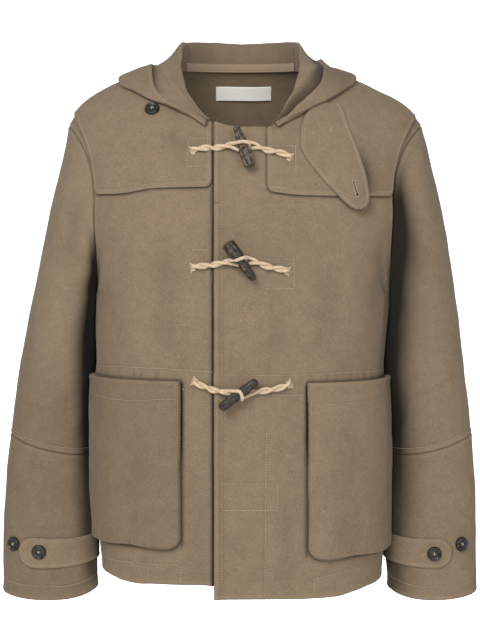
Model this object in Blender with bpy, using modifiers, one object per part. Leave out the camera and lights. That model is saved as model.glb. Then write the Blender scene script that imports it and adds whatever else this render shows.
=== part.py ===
"""Duffle coat: a short, boxy coat of heavy wool twill, filled out and fastened with three toggles.

Metres, +Z up. The fronts face -Y and the wearer's left is +X. The origin lies in the middle of the
neck, level with the shoulders that hold the coat. Every cloth piece is an open surface, lofted from
the tables below, with a wall that Solidify gives it on its inner side.
"""

import math

import bpy
import numpy as np
from mathutils import Matrix, Vector

# --- walls and clearances ---
CLOTH = 0.0020  # the coat cloth
HOOD_CLOTH = 0.0018
PATCH = 0.0018  # one layer laid on another
TAPE = 0.0010  # neck tape and label
SEAM = 0.0003  # what each piece gives way at a seam
ROUND_SEAM = 0.0006  # the same, where the two pieces meet at an angle
LAYER = 0.0009  # between a panel and what lies on it
REST = 0.0005  # the same, where it rests on the panel's own facets

# --- the body's main heights ---
HEM = -0.682
ARM_LOW = -0.285  # underarm
CHEST = -0.160  # the line where the shoulders start to close in
SQUARE = 2.7  # exponent of the body's sections, 2 is an ellipse

# --- armholes and shoulders ---
ARM_DEPTH = 0.078  # half the armhole, front to back
ARM_FLARE = 0.019  # how far the chest's section runs on past the armhole's edge
NECK = 0.090  # neck point, from the middle
RIDGE_Y = 0.004  # the shoulder seam lies this far behind the origin
TIP = {1: 0.248, -1: 0.235}  # shoulder point, wearer's left and right
TIP_DROP = 2.5  # how late a column turns out to the shoulder point

# --- fronts ---
LAP_EDGE = -0.035  # the left front's edge, past the middle
UNDER_EDGE = 0.028  # the right front's edge, under it
LAP = 0.0034  # the left front lies this far over the right one
LAP_FADE = (0.040, 0.085)  # where the left front comes down again
RIDGE = 0.0016  # the welt along the left front's edge
RIDGE_WIDTH = 0.011

# --- closing cords and toggles ---
CORD = 0.0021  # radius of one strand
CORD_SIDES = 6
STRANDS = 0.0048  # between the two strands of a cord
TOGGLE_LENGTH = 0.061
TOGGLE_LIFT = 0.0160  # toggle's axis above the front


class Table:
    """Rows of sizes under named columns. The first column is the key that the others follow."""

    def __init__(self, columns, rows):
        self.names = columns.split()
        self.columns = dict(zip(self.names, np.array(rows, float).T))

    def at(self, name, key):
        return smooth(self.columns[self.names[0]], self.columns[name], key)


def smooth(xs, ys, x):
    """Reads a curve through the points xs, ys that never swings past them."""
    x = np.clip(np.asarray(x, float), xs[0], xs[-1])
    step = np.diff(xs)
    rise = np.diff(ys) / step
    before, after = rise[:-1], rise[1:]
    both = before + after
    inner = np.where(before * after > 0, 2 * before * after / np.where(both == 0, 1, both), 0)
    slope = np.concatenate([rise[:1], inner, rise[-1:]])
    i = np.clip(np.searchsorted(xs, x, side="right") - 1, 0, len(xs) - 2)
    f = (x - xs[i]) / step[i]
    start = ys[i] * (1 + 2 * f) * (1 - f) ** 2 + slope[i] * step[i] * f * (1 - f) ** 2
    end = ys[i + 1] * (3 - 2 * f) * f**2 - slope[i + 1] * step[i] * f**2 * (1 - f)
    return start + end


def ease(x, low, high):
    """0 below low, 1 above high, and a soft rise between."""
    f = np.clip((x - low) / (high - low), 0, 1)
    return f * f * (3 - 2 * f)


def hill(x, middle, width):
    """1 at the middle, 0 from a width away."""
    return 1 - ease(np.abs(x - middle), 0, width)


BODY = Table(
    "height half_left half_right front back",
    (
        (-0.682, 0.1950, 0.1910, 0.1510, 0.1500),
        (-0.640, 0.1975, 0.1945, 0.1515, 0.1500),
        (-0.560, 0.1985, 0.1960, 0.1510, 0.1490),
        (-0.450, 0.1975, 0.1965, 0.1495, 0.1465),
        (-0.400, 0.1955, 0.1955, 0.1470, 0.1430),
        (-0.340, 0.2010, 0.1965, 0.1480, 0.1450),
        (-0.285, 0.2050, 0.1960, 0.1470, 0.1450),
        (-0.220, 0.2050, 0.1960, 0.1440, 0.1430),
        (-0.160, 0.2050, 0.1960, 0.1370, 0.1390),
    ),
)
# Shoulder seam, from the neck point (0) to the shoulder point (1).
SHOULDER = Table(
    "along left right",
    (
        (0.00, 0.022, 0.022),
        (0.25, 0.013, 0.016),
        (0.45, 0.002, 0.006),
        (0.64, -0.012, -0.006),
        (0.75, -0.020, -0.015),
        (0.88, -0.034, -0.030),
        (0.95, -0.046, -0.043),
        (1.00, -0.057, -0.057),
    ),
)
# The line that the fronts and the back would close to over the open neck.
NECK_CLOSE = Table(
    "across front back",
    (
        (0.000, 0.030, 0.076),
        (0.030, 0.029, 0.068),
        (0.060, 0.026, 0.046),
        (0.080, 0.023, 0.029),
        (0.090, 0.022, 0.022),
    ),
)
NECKLINE = Table(
    "across front back",
    (
        (-0.090, 0.022, 0.022),
        (-0.085, 0.002, 0.022),
        (-0.075, -0.018, 0.0225),
        (-0.060, -0.037, 0.023),
        (-0.040, -0.053, 0.0235),
        (-0.020, -0.059, 0.024),
        (0.000, -0.0615, 0.024),
        (0.038, -0.0615, 0.0235),
        (0.055, -0.050, 0.023),
        (0.075, -0.020, 0.0225),
        (0.085, 0.001, 0.022),
        (0.090, 0.022, 0.022),
    ),
)
# Soft folds down the body: side 1 is the back and -1 the fronts, at is the place from the middle
# (0) to the side seam (1 left, -1 right).
FOLDS = Table(
    "number face at width top bottom depth",
    (
        (0, -1, -0.86, 0.08, -0.20, -0.60, 0.0035),
        (1, -1, 0.84, 0.08, -0.21, -0.62, -0.0030),
        (2, 1, -0.62, 0.14, -0.16, -0.66, 0.0050),
        (3, 1, -0.28, 0.12, -0.22, -0.70, -0.0040),
        (4, 1, 0.34, 0.13, -0.20, -0.70, 0.0045),
        (5, 1, 0.68, 0.12, -0.18, -0.64, -0.0045),
    ),
)
# Rings of a sleeve from the armhole (0) to the cuff (12): its outer and inner points, half its
# depth, the middle of its depth, and how far its front and back lean in and hang down.
SLEEVE = Table(
    "ring out_z out_left out_right in_z in_left in_right depth middle bow dip",
    (
        (1, -0.086, 0.2565, 0.2395, -0.292, 0.2080, 0.1992, 0.080, 0.002, 0.016, 0.000),
        (2, -0.120, 0.2645, 0.2480, -0.301, 0.2078, 0.1992, 0.080, 0.003, 0.012, 0.000),
        (3, -0.165, 0.2745, 0.2580, -0.314, 0.2066, 0.1994, 0.079, 0.004, 0.008, 0.000),
        (4, -0.220, 0.2850, 0.2700, -0.334, 0.2050, 0.1996, 0.077, 0.005, 0.005, 0.000),
        (5, -0.285, 0.2950, 0.2840, -0.368, 0.2010, 0.1994, 0.073, 0.006, 0.003, 0.001),
        (6, -0.355, 0.3050, 0.2990, -0.416, 0.1996, 0.1992, 0.067, 0.007, 0.002, 0.003),
        (7, -0.425, 0.3135, 0.3105, -0.466, 0.2014, 0.2002, 0.060, 0.008, 0.000, 0.006),
        (8, -0.480, 0.3200, 0.3180, -0.506, 0.2020, 0.2002, 0.055, 0.008, 0.000, 0.008),
        (9, -0.540, 0.3250, 0.3245, -0.556, 0.2022, 0.2000, 0.050, 0.007, 0.000, 0.008),
        (10, -0.600, 0.3275, 0.3285, -0.606, 0.2015, 0.1992, 0.046, 0.006, 0.000, 0.008),
        (11, -0.650, 0.3280, 0.3298, -0.648, 0.2015, 0.1988, 0.043, 0.004, 0.000, 0.009),
        (12, -0.696, 0.3280, 0.3300, -0.688, 0.2040, 0.1990, 0.041, 0.002, 0.000, 0.010),
    ),
)
ELBOW = 8  # the ring where the upper and the lower sleeve meet
CUFF = 12
SLEEVE_SQUARE = 2.25

# The turned-down hood, by the angle round the neck from the front (0) to the back (180): how far
# out from the neck's middle and how high lie the crest where it folds outwards, the fall behind
# the crest, the lowest fold, the band that comes up again, and the free rim. 1 is the left side.
HOOD_COLUMNS = "angle crest_r crest_z fall_r fall_z fold_r fold_z band_r band_z rim_r rim_z"
HOOD_BEHIND = (
    (140, 0.093, 0.0595, 0.1200, 0.029, 0.190, -0.128, 0.200, -0.055, 0.1530, 0.0210),
    (160, 0.095, 0.0595, 0.1270, 0.020, 0.171, -0.200, 0.201, -0.095, 0.1640, 0.0120),
    (180, 0.097, 0.0595, 0.1300, 0.012, 0.165, -0.230, 0.202, -0.110, 0.1690, 0.0070),
)
HOOD = {
    -1: Table(
        HOOD_COLUMNS,
        (
            (23, 0.1040, -0.0440, 0.1110, -0.0470, 0.1185, -0.0590, 0.1165, -0.0510, 0.1135, -0.0450),
            (30, 0.1035, -0.0350, 0.1110, -0.0400, 0.1195, -0.0510, 0.1205, -0.0485, 0.1170, -0.0430),
            (38, 0.1010, -0.0240, 0.1115, -0.0305, 0.1245, -0.0445, 0.1280, -0.0420, 0.1220, -0.0350),
            (47, 0.0980, -0.0125, 0.1125, -0.0205, 0.1345, -0.0350, 0.1380, -0.0325, 0.1295, -0.0225),
            (56, 0.0910, 0.0015, 0.1140, -0.0070, 0.1485, -0.0275, 0.1490, -0.0235, 0.1330, -0.0085),
            (66, 0.0860, 0.0120, 0.1130, 0.0060, 0.1580, -0.0135, 0.1550, -0.0065, 0.1300, 0.0070),
            (78, 0.0825, 0.0235, 0.1100, 0.0175, 0.1695, -0.0010, 0.1610, 0.0070, 0.1265, 0.0205),
            (92, 0.0800, 0.0335, 0.1080, 0.0260, 0.1690, 0.0030, 0.1580, 0.0140, 0.1255, 0.0260),
            (103, 0.0830, 0.0430, 0.1090, 0.0305, 0.1700, -0.0010, 0.1620, 0.0120, 0.1310, 0.0310),
            (115, 0.0880, 0.0520, 0.1120, 0.0340, 0.1750, -0.0220, 0.1720, 0.0020, 0.1380, 0.0310),
            (128, 0.0930, 0.0580, 0.1160, 0.0330, 0.1870, -0.0680, 0.1900, -0.0250, 0.1460, 0.0260),
        )
        + HOOD_BEHIND,
    ),
    1: Table(
        HOOD_COLUMNS,
        (
            (23, 0.1085, -0.0480, 0.1165, -0.0510, 0.1230, -0.0610, 0.1215, -0.0530, 0.1180, -0.0460),
            (30, 0.1065, -0.0380, 0.1155, -0.0430, 0.1245, -0.0540, 0.1255, -0.0510, 0.1200, -0.0430),
            (38, 0.1025, -0.0250, 0.1135, -0.0315, 0.1282, -0.0490, 0.1312, -0.0440, 0.1215, -0.0350),
            (47, 0.0965, -0.0130, 0.1130, -0.0190, 0.1360, -0.0360, 0.1385, -0.0320, 0.1260, -0.0205),
            (56, 0.0895, 0.0015, 0.1120, -0.0065, 0.1460, -0.0270, 0.1460, -0.0215, 0.1270, -0.0060),
            (66, 0.0850, 0.0120, 0.1100, 0.0060, 0.1540, -0.0125, 0.1505, -0.0055, 0.1230, 0.0095),
            (78, 0.0820, 0.0235, 0.1060, 0.0195, 0.1610, 0.0010, 0.1530, 0.0085, 0.1180, 0.0215),
            (92, 0.0800, 0.0335, 0.1010, 0.0280, 0.1590, 0.0055, 0.1480, 0.0180, 0.1135, 0.0285),
            (103, 0.0830, 0.0430, 0.1010, 0.0335, 0.1620, 0.0015, 0.1540, 0.0165, 0.1125, 0.0365),
            (115, 0.0880, 0.0520, 0.1060, 0.0370, 0.1700, -0.0180, 0.1670, 0.0060, 0.1240, 0.0380),
            (128, 0.0930, 0.0580, 0.1140, 0.0340, 0.1860, -0.0670, 0.1890, -0.0230, 0.1400, 0.0290),
        )
        + HOOD_BEHIND,
    ),
}
# How far the hood's middle surface keeps off the shoulder patches, down its section.
HOOD_LIFT = Table(
    "along lift",
    ((1.0, 0.0034), (2.0, 0.0032), (2.85, 0.0034), (3.05, 0.0062), (3.3, 0.0090), (3.6, 0.0098), (5.0, 0.0100)),
)
HOOD_SEAM = 122  # the angle of the seam between a side of the hood and its middle

# Bottom edges of the shoulder patches, from the middle out.
YOKE_EDGE = {
    1: Table("across height", ((0.035, -0.146), (0.082, -0.1505), (0.131, -0.1515), (0.203, -0.1525))),
    -1: Table("across height", ((0.038, -0.1395), (0.108, -0.141), (0.163, -0.149), (0.194, -0.150))),
}
YOKE_IN = {1: 0.035, -1: 0.038}
YOKE_OUT = (0.978, 0.925)  # outer edge at the bottom and at the shoulder, 1 is the armhole
YOKE_CORNER = 0.009
YOKE_BACK = -0.1525  # bottom of the patch over the back

# Patch pockets: inner edge, top and bottom.
POCKET = {
    1: {"inner": 0.089, "top": -0.3970, "bottom": -0.6330},
    -1: {"inner": 0.079, "top": -0.3945, "bottom": -0.6185},
}
POCKET_OUT = 0.93  # outer edge, 1 is the side seam
POCKET_CORNER = 0.018
POCKET_LIFT = 0.0105  # the pocket's outer face over the front
POCKET_WALL = 0.0030  # how far in the pocket reaches its full height

# Throat tab: its outline by height.
TAB = Table(
    "height near far",
    (
        (-0.1700, 0.1490, 0.1560),
        (-0.1670, 0.1430, 0.1615),
        (-0.1600, 0.1355, 0.1660),
        (-0.1500, 0.1260, 0.1673),
        (-0.1350, 0.1120, 0.1655),
        (-0.1210, 0.1000, 0.1630),
        (-0.1010, 0.0850, 0.1570),
        (-0.0875, 0.0786, 0.1530),
        (-0.0680, 0.0786, 0.1450),
        (-0.0550, 0.0820, 0.1410),
        (-0.0440, 0.0880, 0.1385),
    ),
)

STRAP_END = 200  # angle where a strap goes into the sleeve's back seam

# Toggles from top to bottom: upper and lower end (x, z), outer ends of the two cords (x, z), and
# the radii of the lower and the upper half.
TOGGLES = (
    {"upper": (-0.0065, -0.065), "lower": (0.0140, -0.119), "loop": (-0.064, -0.0930),
     "cord": (0.0655, -0.1010), "radii": (0.0080, 0.0060)},
    {"upper": (-0.0175, -0.2135), "lower": (0.0180, -0.2610), "loop": (-0.063, -0.2450),
     "cord": (0.0620, -0.2500), "radii": (0.0068, 0.0084)},
    {"upper": (0.0180, -0.3950), "lower": (-0.0260, -0.4275), "loop": (-0.061, -0.3955),
     "cord": (0.0645, -0.3985), "radii": (0.0064, 0.0060)},
)
TOGGLE_WAIST = 0.0052

BUTTON = 0.0101  # radius
BUTTONS = {
    "button_strap_right": {"sleeve": -1, "at": (-0.2765, -0.6405), "over": 2},
    "button_strap_left": {"sleeve": 1, "at": (0.2660, -0.6430), "over": 2},
    "button_spare_right": {"sleeve": -1, "at": (-0.3120, -0.6310), "over": 0},
    "button_spare_left": {"sleeve": 1, "at": (0.3040, -0.6310), "over": 0},
}
THROAT_BUTTON = (-0.1175, -0.0378)

TAPE_HEIGHTS = (0.0185, 0.0300)
LABEL_X = (-0.0345, 0.0430)
LABEL_Z = (-0.0210, -0.0015)

COLOURS = {
    "wool": ((0.279, 0.212, 0.147), 0.95),
    "jute": ((0.730, 0.560, 0.370), 0.85),
    "toggle_horn": ((0.062, 0.045, 0.031), 0.45),
    "button_horn": ((0.018, 0.014, 0.011), 0.35),
    "tape": ((0.340, 0.255, 0.165), 0.80),
    "label": ((0.780, 0.770, 0.740), 0.70),
}

NECK_SEAT = 0.0018  # the hood's edge stands this far over the neck's edge
YOKE_STOP = 1.80  # the shoulder patches end at this row under the hood
YOKE_STEP = 0.0018 + PATCH  # a shoulder patch's outer face over the front
ROLL = 0.0045  # between the two layers where the hood rolls over
TAB_LIFT = YOKE_STEP + PATCH + 0.0007  # the throat tab's face over the front
STRAP_TIP = {1: 69, -1: 55}  # angle of a strap's round end
STRAP_RINGS = (10.22, 11.12)  # its upper and lower edge down the sleeve
STRAP_ROUND = 0.0225
CORD_ROOM = 0.0004


# --- surfaces ---


def power(x, exponent):
    return np.sign(x) * np.abs(x) ** exponent


def half_width(side, z):
    """Half the body's section at height z, as it would run on past the armhole."""
    own = np.where(side > 0, BODY.at("half_left", z), BODY.at("half_right", z))
    return own + ARM_FLARE * ease(z, ARM_LOW, CHEST)


def section(face, t, z):
    """x and y of the body's section at a height up to the chest line."""
    side = np.where(np.asarray(t) < 0, -1, 1)
    wide = half_width(side, z)
    deep = BODY.at("front" if face < 0 else "back", z)
    rise = np.clip((CHEST - z) / (CHEST - ARM_LOW), 0, 1)
    edge = ARM_DEPTH * np.sqrt(1 - rise**2)
    turn = np.arccos(np.clip(edge / deep, 0, 1) ** (SQUARE / 2)) * t
    x = wide * power(np.sin(turn), 2 / SQUARE)
    y = face * deep * np.abs(np.cos(turn)) ** (2 / SQUARE)
    return x, y


def body(face, t, v):
    """The body's smooth surface.

    face is -1 for the fronts and 1 for the back. t runs from the right (-1) over the middle (0) to
    the left (1) side seam or armhole, v from the hem (0) over the chest line (1) to the top (2).
    """
    t, v = np.broadcast_arrays(np.asarray(t, float), np.asarray(v, float))
    side = np.where(t < 0, -1, 1)
    name = "front" if face < 0 else "back"
    z = HEM + (CHEST - HEM) * np.clip(v, 0, 1)
    x, y = section(face, t, z)
    edge = np.where(side > 0, section(face, 1.0, CHEST)[0], -section(face, -1.0, CHEST)[0])
    column = np.abs(x)
    along = np.clip((column - NECK) / (edge - NECK), 0, 1)
    seam = np.where(side > 0, SHOULDER.at("left", along), SHOULDER.at("right", along))
    close = np.where(column < NECK, NECK_CLOSE.at(name, column), seam)
    bend = 2.0 if face > 0 else 1.6 + 0.4 * ease(column, 0.04, 0.16)
    share = np.clip((NECKLINE.at(name, x) - CHEST) / (close - CHEST), 0, 1)
    stop = np.where(column < NECK, np.arcsin(share ** (bend / 2)), math.pi / 2)
    turn = stop * np.clip(v - 1, 0, 1)
    tip = np.where(side > 0, TIP[1], TIP[-1])
    out = np.sin(turn) ** TIP_DROP * (NECK + along * (tip - NECK) - column)
    x = np.where(column > NECK, side * (column + out), x)
    y = np.where(v > 1, RIDGE_Y + (y - RIDGE_Y) * np.cos(turn) ** (2 / bend), y)
    z = np.where(v > 1, CHEST + (close - CHEST) * np.sin(turn) ** (2 / bend), z)
    return np.stack([x, y, z], axis=-1)


def normals(surface, a, b, limits, sign):
    """Unit normals of a surface of two parameters, from small steps inside its limits."""
    step = 0.002
    (a_low, a_high), (b_low, b_high) = limits
    across = surface(np.minimum(a + step, a_high), b) - surface(np.maximum(a - step, a_low), b)
    along = surface(a, np.minimum(b + step, b_high)) - surface(a, np.maximum(b - step, b_low))
    normal = sign * np.cross(across, along)
    return normal / np.linalg.norm(normal, axis=-1, keepdims=True)


def fold_depth(face, t, z):
    """The soft folds down the body."""
    depth = np.zeros(np.shape(t))
    for own, at, width, top, bottom, fold in zip(*(FOLDS.columns[n] for n in FOLDS.names[1:])):
        along = ease(z, bottom - 0.06, bottom + 0.08) * (1 - ease(z, top - 0.08, top))
        if own == face:
            depth = depth + fold * hill(t, at, width) * along
    return depth


def lap(x):
    """How far the left front is moved out, to lie over the right one."""
    over = LAP * (1 - ease(x, *LAP_FADE))
    return over + RIDGE * hill(x, LAP_EDGE + RIDGE_WIDTH / 2, RIDGE_WIDTH)


def torso(face, t, v, over=0.0, lapped=False):
    """The body's outer surface with its folds, moved out by over, on the left front if lapped."""
    t, v = np.broadcast_arrays(np.asarray(t, float), np.asarray(v, float))
    points = body(face, t, v)
    move = over + fold_depth(face, t, points[..., 2])
    if np.any(lapped):
        move = move + lap(points[..., 0]) * lapped
    limits = ((-1.0, 1.0), (0.0, 2.0))
    out = normals(lambda a, b: body(face, a, b), t, v, limits, -face)
    return points + out * move[..., None]


def armhole(side, angle):
    """The armhole's loop: angle 0 at the shoulder point, a quarter turn on at the front."""
    rise = np.cos(angle)
    turn = np.arccos(np.clip(rise, 0, 1))
    low = (CHEST + (CHEST - ARM_LOW) * rise - HEM) / (CHEST - HEM)
    v = np.where(rise >= 0, 2 - turn / (math.pi / 2), low)
    front, back = (body(face, side + 0 * v, v) for face in (-1, 1))
    return np.where((np.sin(angle) >= 0)[..., None], front, back)


def sleeve(side, angle, ring, over=0.0):
    """A sleeve's outer surface, by the angle round it and the ring down it, moved out by over."""

    def smooth_sleeve(angle, ring):
        size = {n: SLEEVE.at(n, ring) for n in SLEEVE.names[1:]}
        hand = "left" if side > 0 else "right"
        cosine = power(np.cos(angle), 2 / SLEEVE_SQUARE)
        sine = power(np.sin(angle), 2 / SLEEVE_SQUARE)
        outer, inner = size["out_" + hand], size["in_" + hand]
        x = (outer + inner) / 2 + (outer - inner) / 2 * cosine - size["bow"] * sine**2
        y = size["middle"] - size["depth"] * sine
        z = (size["out_z"] + size["in_z"]) / 2 + (size["out_z"] - size["in_z"]) / 2 * cosine
        tube = np.stack([side * x, y, z - size["dip"] * sine**2], axis=-1)
        start = np.clip(ring, 0, 1)[..., None]
        return np.where(start < 1, armhole(side, angle) * (1 - start) + tube * start, tube)

    angle, ring = np.broadcast_arrays(np.asarray(angle, float), np.asarray(ring, float))
    points = smooth_sleeve(angle, ring)
    if not over:
        return points
    limits = ((-math.pi, 2 * math.pi), (0.0, CUFF))
    return points + over * normals(smooth_sleeve, angle, ring, limits, side)


def neck_edge(side, angle):
    """The edge of the neck opening at an angle (degrees) round the neck, from the front."""
    front = PANELS["front_left" if side > 0 else "front_right"]
    corners = []
    for face, columns in ((-1, front), (1, PANELS["back"])):
        rim = torso(face, columns, 2.0, lapped=face < 0 < side)
        x = side * rim[:, 0]
        keep = rim[(x > 0.01) & (x < NECK + 0.001)]
        corners.append(keep[np.argsort(side * keep[:, 0])][::-face])
    corners = np.concatenate(corners)
    edge = np.stack([np.interp(np.linspace(0, len(corners) - 1, 200), range(len(corners)), corners[:, k])
                     for k in range(3)], axis=-1)
    turn = np.degrees(np.arctan2(np.abs(edge[:, 0]), -edge[:, 1]))
    return np.stack([np.interp(angle, turn, edge[:, k]) for k in range(3)], axis=-1)


def hood(angle, s):
    """The hood's middle surface, by the angle round the neck (left positive) and down its section:
    neck seam 0, crest 1, fall 2, lowest fold 3, band 4, free rim 5."""
    angle, s = np.broadcast_arrays(np.asarray(angle, float), np.asarray(s, float))
    round_neck = np.abs(angle)
    side = np.where(angle < 0, -1, 1)
    left, right = neck_edge(1, round_neck), neck_edge(-1, round_neck)
    edge = np.where((side > 0)[..., None], left, right)
    knots = [(np.hypot(edge[..., 0], edge[..., 1]) - CLOTH / 2, edge[..., 2] + NECK_SEAT)]
    for name in ("crest", "fall", "fold", "band", "rim"):
        knots.append([
            np.where(side > 0, *(HOOD[own].at(name + axis, round_neck) for own in (1, -1)))
            for axis in ("_r", "_z")
        ])
    radius, height = (spline(np.stack(values), s) for values in zip(*knots))
    turn = np.radians(round_neck)
    x, y = side * np.sin(turn), -np.cos(turn)
    step = 0.002
    low, under, high = (ground(x * r, y * r) for r in (radius - step, radius, radius + step))
    slope = np.where((low > -1) & (high > -1), (high - low) / (2 * step), 0)
    lifted = YOKE_STEP + HOOD_LIFT.at("lift", s) + np.where((side > 0) & (y < 0), lap(x * radius), 0)
    lifted = lifted + 0.004 * ease(round_neck, 92, 118)
    rest = under + lifted * np.sqrt(1 + np.clip(slope, -2, 2) ** 2)
    height = np.where((s > 1) & (under > -1), np.maximum(height, rest), height)
    (seam_r, seam_z), (crest_r, crest_z) = knots[:2]
    back_in = np.clip((seam_r - radius) / np.maximum(seam_r - crest_r, 0.001), 0, 1)
    roll = seam_z + (crest_z - seam_z) * back_in + ROLL * np.clip((s - 1) / 0.3, 0, 1)
    height = np.where((s > 1) & (s < 2) & (crest_r < seam_r), np.maximum(height, roll), height)
    return np.stack([x * radius, y * radius, height], axis=-1)


def spline(knots, s):
    """A smooth curve through evenly numbered knots, read at s."""
    last = len(knots) - 1
    i = np.clip(np.floor(s).astype(int), 0, last - 1)
    f = s - i
    before, start, end, after = (
        np.take_along_axis(knots, np.clip(i + k, 0, last)[None], 0)[0] for k in (-1, 0, 1, 2)
    )
    slope_in, slope_out = (end - before) / 2, (after - start) / 2
    return (
        start * (1 + 2 * f) * (1 - f) ** 2
        + slope_in * f * (1 - f) ** 2
        + end * (3 - 2 * f) * f**2
        - slope_out * f**2 * (1 - f)
    )


def halve(rest, low, high):
    """Solves rest = 0 between low and high, where rest only rises or only falls."""
    rising = rest(high) > rest(low)
    for _ in range(20):
        middle = (low + high) / 2
        go_on = (rest(middle) < 0) == rising
        low, high = np.where(go_on, middle, low), np.where(go_on, high, middle)
    return (low + high) / 2


def seen(surface, x, other, across, along, axis=2):
    """The two parameters of the point that a surface shows at x and at another coordinate: its
    height (axis 2) seen from the front or back, its depth (axis 1) seen from above."""
    x, other = np.broadcast_arrays(np.asarray(x, float), np.asarray(other, float))
    a, b = np.full(x.shape, sum(across) / 2), np.full(x.shape, sum(along) / 2)
    for _ in range(3):
        a = halve(lambda a: surface(a, b)[..., 0] - x, 0 * x + across[0], 0 * x + across[1])
        b = halve(lambda b: surface(a, b)[..., axis] - other, 0 * x + along[0], 0 * x + along[1])
    step = 1e-5
    for _ in range(10):
        here = surface(a, b)[..., [0, axis]]
        by_a = (surface(a + step, b)[..., [0, axis]] - here) / step
        by_b = (surface(a, b + step)[..., [0, axis]] - here) / step
        left = np.stack([x, other], axis=-1) - here
        spread = by_a[..., 0] * by_b[..., 1] - by_a[..., 1] * by_b[..., 0]
        spread = np.where(np.abs(spread) < 1e-7, 1e-7, spread)
        move_a = (left[..., 0] * by_b[..., 1] - left[..., 1] * by_b[..., 0]) / spread
        move_b = (left[..., 1] * by_a[..., 0] - left[..., 0] * by_a[..., 1]) / spread
        a = np.clip(a + np.clip(move_a, -0.05, 0.05), across[0], across[1] - 2 * step)
        b = np.clip(b + np.clip(move_b, -0.05, 0.05), along[0], along[1] - 2 * step)
    return a, b


def front_at(x, z):
    """t and v on the fronts, for a point seen from the front."""
    return seen(lambda t, v: body(-1, t, v), x, z, (-1.0, 1.0), (0.0, 2.0))


def back_at(x, z):
    """t and v on the back, for a point seen from behind."""
    return seen(lambda t, v: body(1, t, v), x, z, (-1.0, 1.0), (0.0, 2.0))


def ground(x, y):
    """Height of the shoulders at a place seen from above, and -1 over the open neck."""
    x, y = np.broadcast_arrays(np.asarray(x, float), np.asarray(y, float))
    height = np.full(x.shape, -1.0)
    for face, here in ((-1, y < RIDGE_Y), (1, y >= RIDGE_Y)):
        t, v = seen(lambda t, v: body(face, t, v), x, y, (-1.0, 1.0), (1.0, 2.0), 1)
        found = body(face, t, v)
        near = np.hypot(found[..., 0] - x, found[..., 1] - y) < 0.0012
        height = np.where(here & near, found[..., 2], height)
    return height


def facets(face, columns, t, v, over=0.0, lapped=False):
    """The body's surface as a panel with these columns shows it between its rows and columns."""
    nodes = torso(face, columns[None], BODY_ROWS[:, None], over, lapped)
    t, v = np.broadcast_arrays(np.asarray(t, float), np.asarray(v, float))
    i = np.clip(np.searchsorted(columns, t, side="right") - 1, 0, len(columns) - 2)
    k = np.clip(np.searchsorted(BODY_ROWS, v, side="right") - 1, 0, len(BODY_ROWS) - 2)
    f = ((t - columns[i]) / (columns[i + 1] - columns[i]))[..., None]
    g = ((v - BODY_ROWS[k]) / (BODY_ROWS[k + 1] - BODY_ROWS[k]))[..., None]
    low = nodes[k, i] * (1 - f) + nodes[k, i + 1] * f
    high = nodes[k + 1, i] * (1 - f) + nodes[k + 1, i + 1] * f
    return low * (1 - g) + high * g


# --- making pieces ---


def material(name):
    """A plain material in the colour and roughness of its cloth or horn."""
    made = bpy.data.materials.get(name)
    if made is None:
        colour, rough = COLOURS[name]
        made = bpy.data.materials.new(name)
        made.use_nodes = True
        shader = made.node_tree.nodes["Principled BSDF"]
        shader.inputs["Base Color"].default_value = (*colour, 1.0)
        shader.inputs["Roughness"].default_value = rough
        shader.inputs["Metallic"].default_value = 0.0
    return made


def add(name, mesh, stuff):
    """Puts a mesh in the coat's collection as the object that bears its name."""
    mesh.materials.append(material(stuff))
    mesh.shade_smooth()
    piece = bpy.data.objects.new(name, mesh)
    bpy.data.collections["duffle_coat"].objects.link(piece)
    return piece


def pull_in(points, left=0.0, right=0.0, first=0.0, last=0.0):
    """Draws the edges of a grid in by the given lengths, to leave room at its seams."""
    points = points.copy()
    for line, next_line, length in (
        (np.s_[:, 0], np.s_[:, 1], left),
        (np.s_[:, -1], np.s_[:, -2], right),
        (np.s_[0], np.s_[1], first),
        (np.s_[-1], np.s_[-2], last),
    ):
        way = points[next_line] - points[line]
        length = np.asarray(length)[..., None]
        points[line] += length * way / np.linalg.norm(way, axis=-1, keepdims=True)
    return points


def sheet(name, stuff, points, wall, outward, tube=False, offset=-1.0, level=True, gone=None):
    """A cloth piece over a grid of points. outward is the normal's side at the grid's middle, level
    keeps the wall's full thickness at the bends, and gone marks the cells that are left out."""
    rows, columns = points.shape[:2]
    steps = columns if tube else columns - 1
    faces = []
    for row in range(rows - 1):
        for column in range(steps):
            after = (column + 1) % columns
            if gone is not None and gone[row, column]:
                continue
            faces.append((row * columns + column, row * columns + after,
                          (row + 1) * columns + after, (row + 1) * columns + column))
    points = points.reshape(-1, 3)
    middle = faces[(rows - 1) // 2 * steps + steps // 2]
    corners = points[list(middle)]
    facing = np.cross(corners[2] - corners[0], corners[3] - corners[1])
    if np.dot(facing, outward) < 0:
        faces = [face[::-1] for face in faces]
    used, faces = np.unique(np.array(faces), return_inverse=True)
    mesh = bpy.data.meshes.new(name)
    mesh.from_pydata(points[used].tolist(), [], faces.reshape(-1, 4).tolist())
    piece = add(name, mesh, stuff)
    shell = piece.modifiers.new("wall", "SOLIDIFY")
    shell.thickness = wall
    shell.offset = offset
    shell.use_even_offset = level
    return piece


def turned(name, stuff, profile, steps, place):
    """A turned piece: profile is (radius, height) from the top down, place its matrix."""
    mesh = bpy.data.meshes.new(name)
    line = [(radius, 0.0, height) for radius, height in profile]
    mesh.from_pydata(line, [(i, i + 1) for i in range(len(line) - 1)], [])
    piece = add(name, mesh, stuff)
    lathe = piece.modifiers.new("turn", "SCREW")
    lathe.steps = lathe.render_steps = steps
    lathe.use_merge_vertices = True
    lathe.merge_threshold = 0.00001
    piece.matrix_world = place
    return piece


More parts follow.
